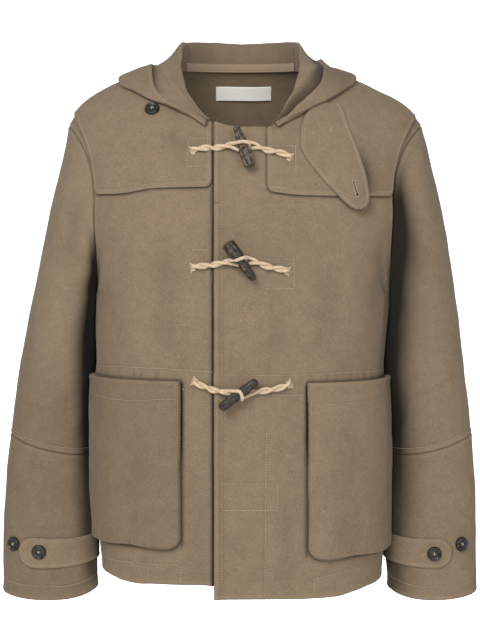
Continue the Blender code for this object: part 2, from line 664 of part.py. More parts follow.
def strand(name, route, radius, count):
    """A round cord on a smooth route, with closed ends."""
    route = np.array(route)
    along = np.linspace(0, len(route) - 1, count)
    points = np.stack([spline(route[:, k, None] * np.ones(count), along) for k in range(3)], axis=-1)
    ways = np.gradient(points, axis=0)
    ways /= np.linalg.norm(ways, axis=-1, keepdims=True)
    turns = np.linspace(0, 2 * math.pi, CORD_SIDES, endpoint=False)[:, None]
    aside = np.array([0.0, 0.0, 1.0])
    rings = []
    for point, way in zip(points, ways):
        aside = aside - way * np.dot(aside, way)
        aside = aside / np.linalg.norm(aside)
        rings.append(point + radius * (np.cos(turns) * aside + np.sin(turns) * np.cross(way, aside)))
    faces = [tuple(range(CORD_SIDES))[::-1]]
    for ring in range(count - 1):
        for k in range(CORD_SIDES):
            low, high = ring * CORD_SIDES, (ring + 1) * CORD_SIDES
            after = (k + 1) % CORD_SIDES
            faces.append((low + k, low + after, high + after, high + k))
    faces.append(tuple((count - 1) * CORD_SIDES + k for k in range(CORD_SIDES)))
    mesh = bpy.data.meshes.new(name)
    mesh.from_pydata(np.concatenate(rings).tolist(), [], faces)
    return add(name, mesh, "jute")


def seat(point, normal, up=(0, 0, 1)):
    """A matrix at a point whose Z is the normal."""
    z_axis = Vector(normal).normalized()
    x_axis = Vector(up).cross(z_axis).normalized()
    turn = Matrix((x_axis, z_axis.cross(x_axis), z_axis)).transposed().to_4x4()
    return Matrix.Translation(Vector(point)) @ turn


# --- where the columns and rows of the grids lie ---


def even(start, end, count, face=-1, height=-0.40):
    """Values of t from start to end, evenly spaced round the body's section."""
    fine = np.linspace(start, end, 600)
    x, y = section(face, fine, np.full(fine.shape, height))
    run = np.concatenate([[0], np.cumsum(np.hypot(np.diff(x), np.diff(y)))])
    return np.interp(np.linspace(0, run[-1], count), run, fine)


def t_at(x, z=-0.40):
    return float(front_at(x, z)[0])


def height_rows(*heights):
    return [(z - HEM) / (CHEST - HEM) for z in heights]


# The three panels' columns are worked out once, because the pieces laid on them follow their facets.
BODY_ROWS = np.array(
    height_rows(HEM, -0.66, -0.62, -0.58, -0.53, -0.48, -0.44, -0.40, -0.36, -0.32, ARM_LOW,
                -0.277, -0.262, -0.24, -0.20)
    + [1.0, 1.16, 1.32, 1.48, 1.64, 1.80, 1.91, 2.0]
)


def panel_columns(name):
    """The values of t of a body panel's columns, one of them at the neck point."""
    face = 1 if name == "back" else -1

    def at(x):
        return float(halve(lambda t: section(face, t, CHEST)[0] - x, np.array(-1.0), np.array(1.0)))

    out_left = even(at(NECK), 1, 8 if face > 0 else 7, face)[1:]
    out_right = even(-1, at(-NECK), 8 if face > 0 else 7, face)[:-1]
    if name == "back":
        return np.concatenate([out_right, [at(x) for x in NECK * np.linspace(-1, 1, 7)], out_left])
    if name == "front_right":
        return np.concatenate([out_right, [at(x) for x in (-NECK, -0.070, -0.046, -0.022, 0.003, UNDER_EDGE)]])
    edge = [t_at(x) for x in (LAP_EDGE, LAP_EDGE + RIDGE_WIDTH / 2, LAP_EDGE + RIDGE_WIDTH)]
    return np.concatenate([edge, [at(x) for x in (-0.008, 0.018, 0.045, 0.070, NECK)], out_left])


def make_body():
    for name, face in (("back", 1), ("front_left", -1), ("front_right", -1)):
        points = torso(face, PANELS[name][None], BODY_ROWS[:, None], lapped=name == "front_left")
        right = 0 if name == "front_right" else ROUND_SEAM
        left = 0 if name == "front_left" else ROUND_SEAM
        sheet(name, "wool", pull_in(points, left, right, 0, ROUND_SEAM), CLOTH, (0, face, 0))


def yoke_grid(panel, face, side):
    """t and v of a shoulder patch, from its bottom edge up to the neck and the shoulder seam."""
    start = t_at(side * YOKE_IN[side], -0.15) if face < 0 else 0.0
    columns = side * panel
    near_edge = 0.05
    first = side * start + near_edge if face < 0 else 0.01
    inner = np.sort(columns[(columns > first) & (columns < YOKE_OUT[1] - near_edge)])
    close = np.array([0.0, 0.25, 1.0]) * YOKE_CORNER / 0.25  # t runs about 1 over a quarter metre
    bottom = np.concatenate([side * start + close, inner, YOKE_OUT[0] - close[::-1]])
    if face > 0:
        bottom = np.concatenate([[0.0], inner, YOKE_OUT[0] - close[::-1]])
    rest = np.where(bottom > YOKE_OUT[1] - near_edge, YOKE_OUT[0] - YOKE_OUT[1], 0)
    x = np.abs(body(face, side * bottom, 1.0)[:, 0])
    heights = YOKE_EDGE[side].at("height", x) if face < 0 else YOKE_BACK + 0 * x
    for gone in (x[-1] - x,) if face > 0 else (x - x[0], x[-1] - x):
        short = np.clip(1 - gone / YOKE_CORNER, 0, 1)
        heights = heights + YOKE_CORNER * (1 - np.sqrt(1 - short**2))
    low = halve(lambda v: body(face, side * bottom, v)[..., 2] - heights, 0 * x + 0.5, 0 * x + 2.0)
    rows = BODY_ROWS[BODY_ROWS > 1.1]
    v = np.stack([low] + [np.maximum(row, low + 0.02 * (k + 1)) for k, row in enumerate(rows)])
    return side * (bottom - rest * (v - v[0]) / (2 - v[0])), v


def under_hood(face, t, v):
    """The cells of a shoulder patch that are left out, where the hood lies over the neck."""
    column = np.abs(body(face, t[0], 1.0)[:, 0])
    near = np.minimum(column[1:], column[:-1])
    stop = np.where(near > 0.065, YOKE_STOP - 0.16, YOKE_STOP)
    return (near < NECK + 0.005)[None] & (v[:-1, 1:] > stop[None] - 0.01)


def make_yokes():
    for side, hand in ((1, "left"), (-1, "right")):
        name = "front_" + hand
        t, v = yoke_grid(PANELS[name], -1, side)
        points = facets(-1, PANELS[name], t, v, YOKE_STEP, side > 0)
        points = pull_in(points, last=ROUND_SEAM)
        sheet("yoke_" + hand, "wool", points, PATCH, (0, -1, 0), level=False, gone=under_hood(-1, t, v))
    halves = [yoke_grid(PANELS["back"], 1, side) for side in (-1, 1)]
    t, v = (np.concatenate([halves[0][k][:, :0:-1], halves[1][k]], axis=1) for k in (0, 1))
    points = pull_in(facets(1, PANELS["back"], t, v, YOKE_STEP), last=ROUND_SEAM)
    sheet("yoke_back", "wool", points, PATCH, (0, 1, 0), level=False, gone=under_hood(1, t, v))


def make_sleeves():
    turns = np.linspace(0, 2 * math.pi, 20, endpoint=False)
    upper = np.array([0, 0.5, 1, 2, 3, 4, 5, 6, 7, ELBOW], float)
    lower = np.arange(ELBOW, CUFF + 1, dtype=float)
    for side, hand in ((1, "left"), (-1, "right")):
        for name, rings, first, last in (
            ("sleeve_upper_", upper, ROUND_SEAM, SEAM),
            ("sleeve_lower_", lower, SEAM, 0),
        ):
            points = sleeve(side, turns[None], rings[:, None])
            points = pull_in(points, first=first, last=last)
            middle = points[len(rings) // 2]
            outward = middle[len(turns) // 2] - middle.mean(axis=0)
            sheet(name + hand, "wool", points, CLOTH, outward, tube=True)


def pocket_grid(side):
    """t, v and lift of a patch pocket, from its bottom to its mouth."""
    size = POCKET[side]
    t_in, t_out = t_at(side * size["inner"], -0.5), side * POCKET_OUT
    wall = np.array([0, POCKET_WALL, 0.011])
    fine = np.linspace(t_in, t_out, 400)
    x, y = section(-1, fine, np.full(fine.shape, -0.5))
    run = np.concatenate([[0], np.cumsum(np.hypot(np.diff(x), np.diff(y)))])
    across = np.concatenate([wall, np.linspace(0.011, run[-1] - 0.011, 7)[1:-1], run[-1] - wall[::-1]])
    up = np.concatenate([wall, np.linspace(0.011, size["top"] - size["bottom"], 10)[1:]])
    deep = np.minimum(across, run[-1] - across)
    lift = np.minimum(ease(deep, -POCKET_WALL, POCKET_WALL)[None], ease(up, -POCKET_WALL, POCKET_WALL)[:, None])
    lift = REST + PATCH + (POCKET_LIFT - REST - PATCH) * (2 * lift - 1)
    inner = np.clip(1 - across / POCKET_CORNER, 0, 1)
    low = np.clip(1 - up / 0.06, 0, 1)
    z = size["bottom"] + up[:, None] + POCKET_CORNER * (1 - np.sqrt(1 - inner**2))[None] * low[:, None] ** 2
    t = np.interp(across, run, fine)[None] + 0 * z
    return t, (z - HEM) / (CHEST - HEM), lift


def make_pockets():
    for side, hand in ((1, "left"), (-1, "right")):
        t, v, lift = pocket_grid(side)
        points = facets(-1, PANELS["front_" + hand], t, v)
        points += torso(-1, t, v, lift) - torso(-1, t, v)
        sheet("pocket_" + hand, "wool", points, PATCH, (0, -1, 0))


def hood_grid(turns):
    """Points of a hood piece: rows close together at its folds, and even along the short front."""
    rows = np.array([0, 0.5, 0.95, 1.15, 1.35, 1.65, 2, 2.5, 2.85, 3.05, 3.3, 3.6, 4, 4.5, 5])
    fine = np.linspace(0, 5, 121)
    points = hood(turns[None], fine[:, None])
    grid = np.empty((len(rows), len(turns), 3))
    for column, turn in enumerate(turns):
        line = points[:, column]
        run = np.concatenate([[0], np.cumsum(np.linalg.norm(np.diff(line, axis=0), axis=1))])
        steady = np.interp(np.linspace(0, run[-1], len(rows)), run, fine)
        own = rows + (steady - rows) * (1 - ease(abs(turn), 45, 80))
        grid[:, column] = np.stack([np.interp(own, fine, line[:, k]) for k in range(3)], axis=-1)
    return grid


def make_hood():
    side_turns = np.array([23, 28, 34, 41, 49, 58, 68, 78, 88, 99, 110, HOOD_SEAM], float)
    middle = np.linspace(HOOD_SEAM - 180, 180 - HOOD_SEAM, 9)
    middle = np.where(middle < 0, -180 - middle, 180 - middle)
    pieces = {
        "hood_right": (-side_turns[::-1], ROUND_SEAM, 0, (-1, 0, 1)),
        "hood_left": (side_turns, 0, ROUND_SEAM, (1, 0, 1)),
        "hood_middle": (middle, ROUND_SEAM, ROUND_SEAM, (0, 1, 1)),
    }
    for name, (turns, left, right, outward) in pieces.items():
        points = pull_in(hood_grid(turns), left, right)
        sheet(name, "wool", points, HOOD_CLOTH, outward, offset=0.0, level=False)


def make_tab():
    heights = np.array([-0.170, -0.167, -0.160, -0.149, -0.134, -0.117, -0.099, -0.082, -0.066, -0.050])
    share = np.linspace(0, 1, 6)
    near, far = TAB.at("near", heights)[:, None], TAB.at("far", heights)[:, None]
    x = near + (far - near) * share
    t, v = front_at(x, heights[:, None] + 0 * x)
    over = TAB_LIFT + 0.003 * ease(-heights, 0.10, 0.17)[:, None] + 0 * x
    sheet("throat_tab", "wool", torso(-1, t, v, over, lapped=True), PATCH, (0, -1, 0))


def make_straps():
    for side, hand in ((1, "left"), (-1, "right")):
        tip = math.radians(STRAP_TIP[side])
        turns = np.concatenate([tip + np.array([0, 0.02, 0.07, 0.16, 0.30]),
                                np.linspace(tip + 0.45, math.radians(STRAP_END), 7)])
        middle = sleeve(side, turns, np.full(turns.shape, sum(STRAP_RINGS) / 2))
        run = np.concatenate([[0], np.cumsum(np.linalg.norm(np.diff(middle, axis=0), axis=1))])
        short = np.clip(1 - (run + 0.001) / STRAP_ROUND, 0, 1)
        half = (STRAP_RINGS[1] - STRAP_RINGS[0]) / 2 * np.sqrt(1 - short**2)
        rings = sum(STRAP_RINGS) / 2 + half * np.linspace(-1, 1, 5)[:, None]
        points = sleeve(side, turns[None] + 0 * rings, rings, LAYER + PATCH)
        sheet("cuff_strap_" + hand, "wool", points, PATCH, (0, -1, 0))


def on_front(places):
    """Points over the fronts, from rows of x, z and the distance from the cloth."""
    x, z, over = np.array(places, float).T
    points = torso(-1, *front_at(x, z), over, lapped=x > LAP_EDGE - 0.001)
    return [Vector(point) for point in points]


def make_toggles():
    for number, toggle in enumerate(TOGGLES, 1):
        ends = [(*toggle[end], TOGGLE_LIFT) for end in ("upper", "lower")]
        upper, lower = on_front(ends)
        middle = (upper + lower) / 2
        axis = (upper - lower).normalized()
        across = Vector((0, -1, 0)).cross(axis).normalized()
        if across.x > 0:
            across = -across
        turn = Matrix((across, axis.cross(across), axis)).transposed().to_4x4()
        low, high = toggle["radii"]
        half = TOGGLE_LENGTH / 2
        profile = ((0, half), (0.7 * high, half - 0.0015), (high, half - 0.007), (0.97 * high, 0.010),
                   (TOGGLE_WAIST, 0.0055), (TOGGLE_WAIST, -0.0055), (0.97 * low, -0.010),
                   (low, 0.010 - half), (0.75 * low, 0.0015 - half), (0, -half))
        turned("toggle_%d" % number, "toggle_horn", profile, 12, Matrix.Translation(middle) @ turn)
        make_loop(number, toggle, middle, axis, across)
        make_cord(number, toggle, middle)


def make_loop(number, toggle, middle, axis, across):
    """The cord from the right front: under the toggle on one strand, over it and back on the other."""
    end_x, end_z = toggle["loop"]
    ring = TOGGLE_WAIST + CORD + CORD_ROOM
    out = across.cross(axis)
    if out.y > 0:
        out = -out
    near = middle + 0.018 * across
    strands = []
    for way in (-1, 1):
        places = []
        for share in (0, 0.35, 0.7):
            x = end_x + (near.x - end_x) * share
            z = end_z + (near.z - end_z) * share + way * STRANDS / 2
            over = CORD + REST + YOKE_STEP * (number == 1)
            over += (LAP + RIDGE) * float(x > LAP_EDGE - 0.012 and x < LAP_EDGE) + 0.002 * share
            places.append((x, z, over))
        aside = near + way * 1.1 * STRANDS / 2 * (axis + Vector((0, 0, 1))).normalized()
        places.append((aside.x, aside.z, 0.0075 if way < 0 else 0.0145))
        strands.append(on_front(places))
    turns = []
    for degrees in range(75, 286, 30):
        angle = math.radians(degrees)
        slide = STRANDS / 2 * (1 - 2 * (degrees - 75) / 210)
        turns.append(middle + ring * (math.cos(angle) * across - math.sin(angle) * out) - axis * slide)
    strand("loop_%d" % number, strands[0] + turns + strands[1][::-1], CORD, 40)


def make_cord(number, toggle, middle):
    """The cord from the left front: two strands that part and join again under the toggle."""
    end_x, end_z = toggle["cord"]
    low = CORD + REST
    parted = middle.x + 0.016
    places = {1: [], -1: []}
    for way, line in places.items():
        for x, spread in ((end_x, 1.0), (end_x - 0.014, 1.0), (parted + 0.008, 1.2), (parted, 2.0)):
            share = (end_x - x) / (end_x - middle.x)
            z = end_z + (middle.z - end_z) * share + way * spread * STRANDS / 2
            line.append((x, z, low + YOKE_STEP * float(number == 1 and x > YOKE_IN[1] - 0.014)))
    bend = []
    for degrees in (55, 20, -20, -55):
        angle = math.radians(degrees)
        bend.append((middle.x + 0.010 - 0.009 * math.cos(angle), middle.z + 0.0068 * math.sin(angle), low))
    route = on_front(places[1] + bend + places[-1][::-1])
    strand("cord_%d" % number, route, CORD, 32)


def make_buttons():
    top = 0.0036
    profile = ((0, 0.6 * top), (0.62 * BUTTON, 0.6 * top), (0.82 * BUTTON, top), (BUTTON, 0.6 * top),
               (0.9 * BUTTON, 0), (0, 0))
    for name, button in BUTTONS.items():
        side = button["sleeve"]
        surface = lambda angle, ring: sleeve(side, angle, ring)
        angle, ring = seen(surface, *button["at"], (0.0, math.pi), (9.0, 12.0))
        over = LAYER + button["over"] * PATCH
        if button["over"]:
            over = 2 * LAYER + PATCH
        low, high = sleeve(side, angle, ring, over), sleeve(side, angle, ring, over + 0.01)
        turned(name, "button_horn", profile, 14, seat(low, high - low))
    t, v = front_at(*THROAT_BUTTON)
    low = torso(-1, t, v, YOKE_STEP + 0.0004)
    high = torso(-1, t, v, YOKE_STEP + 0.0104)
    turned("button_throat", "button_horn", profile, 14, seat(low, high - low))


def make_neck_trims():
    """The tape over the back neck seam and the blank label, both inside the coat."""
    turn = np.linspace(HOOD_SEAM - 180, 180 - HOOD_SEAM, 9)
    around = 180 - np.abs(turn)
    edge = np.where((turn < 0)[:, None], neck_edge(-1, around), neck_edge(1, around))
    rows = []
    for z in TAPE_HEIGHTS:
        rows.append(edge + np.array([0, 0, 1]) * (z - edge[:, 2:]))
    points = np.stack(rows)
    inward = points * (1, 1, 0)
    inward = inward / np.linalg.norm(inward, axis=-1, keepdims=True)
    points = points - inward * (CLOTH + 3 * LAYER)
    sheet("neck_tape", "tape", points, TAPE, (0, -1, 0))
    x = np.linspace(*LABEL_X, 6)[None]
    z = np.linspace(*LABEL_Z, 3)[:, None]
    t, v = back_at(x + 0 * z, z + 0 * x)
    points = torso(1, t, v, -CLOTH - 2.5 * LAYER - TAPE)
    sheet("neck_label", "label", points, TAPE, (0, -1, 0))


PANELS = {name: panel_columns(name) for name in ("back", "front_left", "front_right")}


def main():
    for piece in list(bpy.data.objects):
        bpy.data.objects.remove(piece)
    coat = bpy.data.collections.new("duffle_coat")
    bpy.context.scene.collection.children.link(coat)
    make_body()
    make_yokes()
    make_sleeves()
    make_pockets()
    make_hood()
    make_tab()
    make_straps()
    make_toggles()
    make_buttons()
    make_neck_trims()


main()
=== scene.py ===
"""Duffle coat: the cloth, sewing, cords, toggles and buttons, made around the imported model.

Metres, +Z up, the fronts face -Y and the wearer's left is +X, as in the model. Every cut piece is a
thin shell over the same form as its solid, with folded edges, seams, stitches and soft creases.
"""

import math

import bpy
import numpy as np
from bpy.props import FloatProperty, FloatVectorProperty, PointerProperty
from mathutils import Matrix, Vector
from mathutils.bvhtree import BVHTree
from mathutils.kdtree import KDTree


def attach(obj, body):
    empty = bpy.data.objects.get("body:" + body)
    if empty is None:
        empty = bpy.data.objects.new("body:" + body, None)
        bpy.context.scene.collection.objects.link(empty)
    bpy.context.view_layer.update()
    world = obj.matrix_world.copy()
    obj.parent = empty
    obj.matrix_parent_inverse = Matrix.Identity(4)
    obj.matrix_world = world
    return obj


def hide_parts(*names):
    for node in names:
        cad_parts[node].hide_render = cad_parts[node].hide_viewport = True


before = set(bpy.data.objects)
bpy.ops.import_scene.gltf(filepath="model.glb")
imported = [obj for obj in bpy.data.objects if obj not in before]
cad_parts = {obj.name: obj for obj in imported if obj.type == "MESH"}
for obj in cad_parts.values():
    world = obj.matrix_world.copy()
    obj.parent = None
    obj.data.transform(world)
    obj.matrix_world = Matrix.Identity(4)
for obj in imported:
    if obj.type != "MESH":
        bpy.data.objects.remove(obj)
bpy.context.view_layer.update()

bl_info = {
    "name": "Duffle coat",
    "version": (1, 0, 0),
    "blender": (4, 5, 0),
    "location": "View3D > Sidebar > Coat",
    "description": "Makes a duffle coat's cloth, sewing and fastenings around its packed model",
    "category": "Object",
}

# --- sizes of the coat's form ---
CLOTH = 0.0020
HOOD_CLOTH = 0.0018
PATCH = 0.0018
TAPE = 0.0010
LABEL = 0.0006
LAYER = 0.0009
HEM = -0.682
ARM_LOW = -0.285
CHEST = -0.160
PANEL_CUT = -0.50
SQUARE = 2.7
ARM_DEPTH = 0.078
ARM_FLARE = 0.019
NECK = 0.090
RIDGE_Y = 0.004
TIP = {1: 0.248, -1: 0.235}
TIP_DROP = 2.5
LAP_EDGE = -0.035
UNDER_EDGE = 0.028
LAP = 0.0034
LAP_FADE = (0.040, 0.085)
RIDGE = 0.0016
RIDGE_WIDTH = 0.011
CORD = 0.0021
CORD_PITCH = 0.040
TOGGLE_LENGTH = 0.061
TOGGLE_LIFT = 0.0160
YOKE_STEP = 0.0018 + PATCH
NECK_SEAT = 0.0018
ROLL = 0.0045
TAB_LIFT = YOKE_STEP + PATCH + 0.0007
HOOD_SEAM = 122
ELBOW = 8
CUFF = 12
SLEEVE_SQUARE = 2.25


class Table:
    """Rows of sizes under named columns. The first column is the key that the others follow."""

    def __init__(self, text):
        head, *rows = text.strip().splitlines()
        self.names = head.split()
        self.columns = dict(zip(self.names, np.array([row.split() for row in rows], float).T))

    def at(self, name, key):
        return smooth(self.columns[self.names[0]], self.columns[name], key)

    def rows(self):
        """The rows as dictionaries."""
        for values in zip(*(self.columns[name] for name in self.names)):
            yield dict(zip(self.names, values))


def smooth(xs, ys, x):
    """Reads a curve through the points xs, ys that never swings past them."""
    x = np.clip(np.asarray(x, float), xs[0], xs[-1])
    step = np.diff(xs)
    rise = np.diff(ys) / step
    before, after = rise[:-1], rise[1:]
    both = before + after
    inner = np.where(before * after > 0, 2 * before * after / np.where(both == 0, 1, both), 0)
    slope = np.concatenate([rise[:1], inner, rise[-1:]])
    i = np.clip(np.searchsorted(xs, x, side="right") - 1, 0, len(xs) - 2)
    f = (x - xs[i]) / step[i]
    start = ys[i] * (1 + 2 * f) * (1 - f) ** 2 + slope[i] * step[i] * f * (1 - f) ** 2
    end = ys[i + 1] * (3 - 2 * f) * f**2 - slope[i + 1] * step[i] * f**2 * (1 - f)
    return start + end


def ease(x, low, high):
    """0 below low, 1 above high, and a soft rise between."""
    f = np.clip((x - low) / (high - low), 0, 1)
    return f * f * (3 - 2 * f)


def hill(x, middle, width):
    """1 at the middle, 0 from a width away."""
    return 1 - ease(np.abs(x - middle), 0, width)


def bell(x, width):
    return np.exp(-((x / width) ** 2))


BODY = Table("""
height half_left half_right front back
-0.682 0.1950 0.1910 0.1510 0.1500
-0.640 0.1975 0.1945 0.1515 0.1500
-0.560 0.1985 0.1960 0.1510 0.1490
-0.450 0.1975 0.1965 0.1495 0.1465
-0.400 0.1955 0.1955 0.1470 0.1430
-0.340 0.2010 0.1965 0.1480 0.1450
-0.285 0.2050 0.1960 0.1470 0.1450
-0.220 0.2050 0.1960 0.1440 0.1430
-0.160 0.2050 0.1960 0.1370 0.1390
""")
SHOULDER = Table("""
along left right
0.00 0.022 0.022
0.25 0.013 0.016
0.45 0.002 0.006
0.64 -0.012 -0.006
0.75 -0.020 -0.015
0.88 -0.034 -0.030
0.95 -0.046 -0.043
1.00 -0.057 -0.057
""")
NECK_CLOSE = Table("""
across front back
0.000 0.030 0.076
0.030 0.029 0.068
0.060 0.026 0.046
0.080 0.023 0.029
0.090 0.022 0.022
""")
NECKLINE = Table("""
across front back
-0.090 0.022 0.022
-0.085 0.002 0.022
-0.075 -0.018 0.0225
-0.060 -0.037 0.023
-0.040 -0.053 0.0235
-0.020 -0.059 0.024
0.000 -0.0615 0.024
0.038 -0.0615 0.0235
0.055 -0.050 0.023
0.075 -0.020 0.0225
0.085 0.001 0.022
0.090 0.022 0.022
""")
FOLDS = Table("""
number face at width top bottom depth
0 -1 -0.86 0.08 -0.20 -0.60 0.0035
1 -1 0.84 0.08 -0.21 -0.62 -0.0030
2 1 -0.62 0.14 -0.16 -0.66 0.0050
3 1 -0.28 0.12 -0.22 -0.70 -0.0040
4 1 0.34 0.13 -0.20 -0.70 0.0045
5 1 0.68 0.12 -0.18 -0.64 -0.0045
""")
SLEEVE = Table("""
ring out_z out_left out_right in_z in_left in_right depth middle bow dip
1 -0.086 0.2565 0.2395 -0.292 0.2080 0.1992 0.080 0.002 0.016 0.000
2 -0.120 0.2645 0.2480 -0.301 0.2078 0.1992 0.080 0.003 0.012 0.000
3 -0.165 0.2745 0.2580 -0.314 0.2066 0.1994 0.079 0.004 0.008 0.000
4 -0.220 0.2850 0.2700 -0.334 0.2050 0.1996 0.077 0.005 0.005 0.000
5 -0.285 0.2950 0.2840 -0.368 0.2010 0.1994 0.073 0.006 0.003 0.001
6 -0.355 0.3050 0.2990 -0.416 0.1996 0.1992 0.067 0.007 0.002 0.003
7 -0.425 0.3135 0.3105 -0.466 0.2014 0.2002 0.060 0.008 0.000 0.006
8 -0.480 0.3200 0.3180 -0.506 0.2020 0.2002 0.055 0.008 0.000 0.008
9 -0.540 0.3250 0.3245 -0.556 0.2022 0.2000 0.050 0.007 0.000 0.008
10 -0.600 0.3275 0.3285 -0.606 0.2015 0.1992 0.046 0.006 0.000 0.008
11 -0.650 0.3280 0.3298 -0.648 0.2015 0.1988 0.043 0.004 0.000 0.009
12 -0.696 0.3280 0.3300 -0.688 0.2040 0.1990 0.041 0.002 0.000 0.010
""")
HOOD_COLUMNS = "angle crest_r crest_z fall_r fall_z fold_r fold_z band_r band_z rim_r rim_z"
HOOD_BEHIND = """140 0.093 0.0595 0.1200 0.029 0.190 -0.128 0.200 -0.055 0.1530 0.0210
160 0.095 0.0595 0.1270 0.020 0.171 -0.200 0.201 -0.095 0.1640 0.0120
180 0.097 0.0595 0.1300 0.012 0.165 -0.230 0.202 -0.110 0.1690 0.0070"""
HOOD = {
    -1: Table(HOOD_COLUMNS + """
23 0.1040 -0.0440 0.1110 -0.0470 0.1185 -0.0590 0.1165 -0.0510 0.1135 -0.0450
30 0.1035 -0.0350 0.1110 -0.0400 0.1195 -0.0510 0.1205 -0.0485 0.1170 -0.0430
38 0.1010 -0.0240 0.1115 -0.0305 0.1245 -0.0445 0.1280 -0.0420 0.1220 -0.0350
47 0.0980 -0.0125 0.1125 -0.0205 0.1345 -0.0350 0.1380 -0.0325 0.1295 -0.0225
56 0.0910 0.0015 0.1140 -0.0070 0.1485 -0.0275 0.1490 -0.0235 0.1330 -0.0085
66 0.0860 0.0120 0.1130 0.0060 0.1580 -0.0135 0.1550 -0.0065 0.1300 0.0070
78 0.0825 0.0235 0.1100 0.0175 0.1695 -0.0010 0.1610 0.0070 0.1265 0.0205
92 0.0800 0.0335 0.1080 0.0260 0.1690 0.0030 0.1580 0.0140 0.1255 0.0260
103 0.0830 0.0430 0.1090 0.0305 0.1700 -0.0010 0.1620 0.0120 0.1310 0.0310
115 0.0880 0.0520 0.1120 0.0340 0.1750 -0.0220 0.1720 0.0020 0.1380 0.0310
128 0.0930 0.0580 0.1160 0.0330 0.1870 -0.0680 0.1900 -0.0250 0.1460 0.0260
""" + HOOD_BEHIND),
    1: Table(HOOD_COLUMNS + """
23 0.1085 -0.0480 0.1165 -0.0510 0.1230 -0.0610 0.1215 -0.0530 0.1180 -0.0460
30 0.1065 -0.0380 0.1155 -0.0430 0.1245 -0.0540 0.1255 -0.0510 0.1200 -0.0430
38 0.1025 -0.0250 0.1135 -0.0315 0.1282 -0.0490 0.1312 -0.0440 0.1215 -0.0350
47 0.0965 -0.0130 0.1130 -0.0190 0.1360 -0.0360 0.1385 -0.0320 0.1260 -0.0205
56 0.0895 0.0015 0.1120 -0.0065 0.1460 -0.0270 0.1460 -0.0215 0.1270 -0.0060
66 0.0850 0.0120 0.1100 0.0060 0.1540 -0.0125 0.1505 -0.0055 0.1230 0.0095
78 0.0820 0.0235 0.1060 0.0195 0.1610 0.0010 0.1530 0.0085 0.1180 0.0215
92 0.0800 0.0335 0.1010 0.0280 0.1590 0.0055 0.1480 0.0180 0.1135 0.0285
103 0.0830 0.0430 0.1010 0.0335 0.1620 0.0015 0.1540 0.0165 0.1125 0.0365
115 0.0880 0.0520 0.1060 0.0370 0.1700 -0.0180 0.1670 0.0060 0.1240 0.0380
128 0.0930 0.0580 0.1140 0.0340 0.1860 -0.0670 0.1890 -0.0230 0.1400 0.0290
""" + HOOD_BEHIND),
}
HOOD_LIFT = Table("""
along lift
1.0 0.0034
2.0 0.0032
2.85 0.0034
3.05 0.0062
3.3 0.0090
3.6 0.0098
5.0 0.0100
""")
YOKE_EDGE = {
    1: Table("""
across height
0.035 -0.146
0.082 -0.1505
0.131 -0.1515
0.203 -0.1525
"""),
    -1: Table("""
across height
0.038 -0.1395
0.108 -0.141
0.163 -0.149
0.194 -0.150
"""),
}
YOKE_IN = {1: 0.035, -1: 0.038}
YOKE_OUT = (0.978, 0.925)
YOKE_CORNER = 0.009
YOKE_BACK = -0.1525
POCKET = {
    1: {"inner": 0.089, "top": -0.3970, "bottom": -0.6330},
    -1: {"inner": 0.079, "top": -0.3945, "bottom": -0.6185},
}
POCKET_OUT = 0.93
POCKET_CORNER = 0.018
POCKET_LIFT = 0.0105
POCKET_WALL = 0.0030
TAB = Table("""
height near far
-0.1700 0.1490 0.1560
-0.1670 0.1430 0.1615
-0.1600 0.1355 0.1660
-0.1500 0.1260 0.1673
-0.1350 0.1120 0.1655
-0.1210 0.1000 0.1630
-0.1010 0.0850 0.1570
-0.0875 0.0786 0.1530
-0.0680 0.0786 0.1450
-0.0550 0.0820 0.1410
-0.0440 0.0880 0.1385
""")
STRAP_END = 200
STRAP_TIP = {1: 69, -1: 55}
STRAP_RINGS = (10.22, 11.12)
STRAP_ROUND = 0.0225
TOGGLES = (
    {"upper": (-0.0065, -0.065), "lower": (0.0140, -0.119), "loop": (-0.064, -0.0930),
     "cord": (0.0655, -0.1010), "radii": (0.0080, 0.0060)},
    {"upper": (-0.0175, -0.2135), "lower": (0.0180, -0.2610), "loop": (-0.063, -0.2450),
     "cord": (0.0620, -0.2500), "radii": (0.0068, 0.0084)},
    {"upper": (0.0180, -0.3950), "lower": (-0.0260, -0.4275), "loop": (-0.061, -0.3955),
     "cord": (0.0645, -0.3985), "radii": (0.0064, 0.0060)},
)
TOGGLE_WAIST = 0.0052
BUTTON = 0.0101
BUTTON_TOP = 0.0036
BUTTON_HOLES = 0.0023
BUTTONS = {
    "button_strap_right": {"sleeve": -1, "at": (-0.2765, -0.6405), "turn": 20},
    "button_strap_left": {"sleeve": 1, "at": (0.2660, -0.6430), "turn": 50},
    "button_spare_right": {"sleeve": -1, "at": (-0.3120, -0.6310), "turn": 75},
    "button_spare_left": {"sleeve": 1, "at": (0.3040, -0.6310), "turn": 10},
}
THROAT_BUTTON = (-0.1175, -0.0378)
TAPE_HEIGHTS = (0.0185, 0.0300)
LABEL_X = (-0.0345, 0.0430)
LABEL_Z = (-0.0210, -0.0015)

# --- sewing ---
# Where a grid's lines lie: in from a folded edge, in from a seam, and beside a stitch line.
EDGE_STEPS = np.array([0, 4, 10, 18, 28, 40, 50, 58, 65, 72, 82, 100]) / 10000
SEAM_STEPS = np.array([0, 8, 16, 26, 40]) / 10000
LINE_STEPS = np.array([-32, -18, -9, 0, 9, 18, 32]) / 10000
EDGE_ROUND = 0.0020  # how wide a folded edge turns over
EDGE_DROP = 0.0013
WELT = 0.0007  # how far the cloth swells between an edge and its stitches
GROOVE = 0.00055  # how deep stitches pull the cloth in
GROOVE_WIDTH = 0.0012
SEAM_DIP = 0.0011
SEAM_WIDTH = 0.0013
TOPSTITCH = 0.0065  # topstitching, from the edge
CUFF_HEM = 0.019
HEM_DEPTH = 0.027

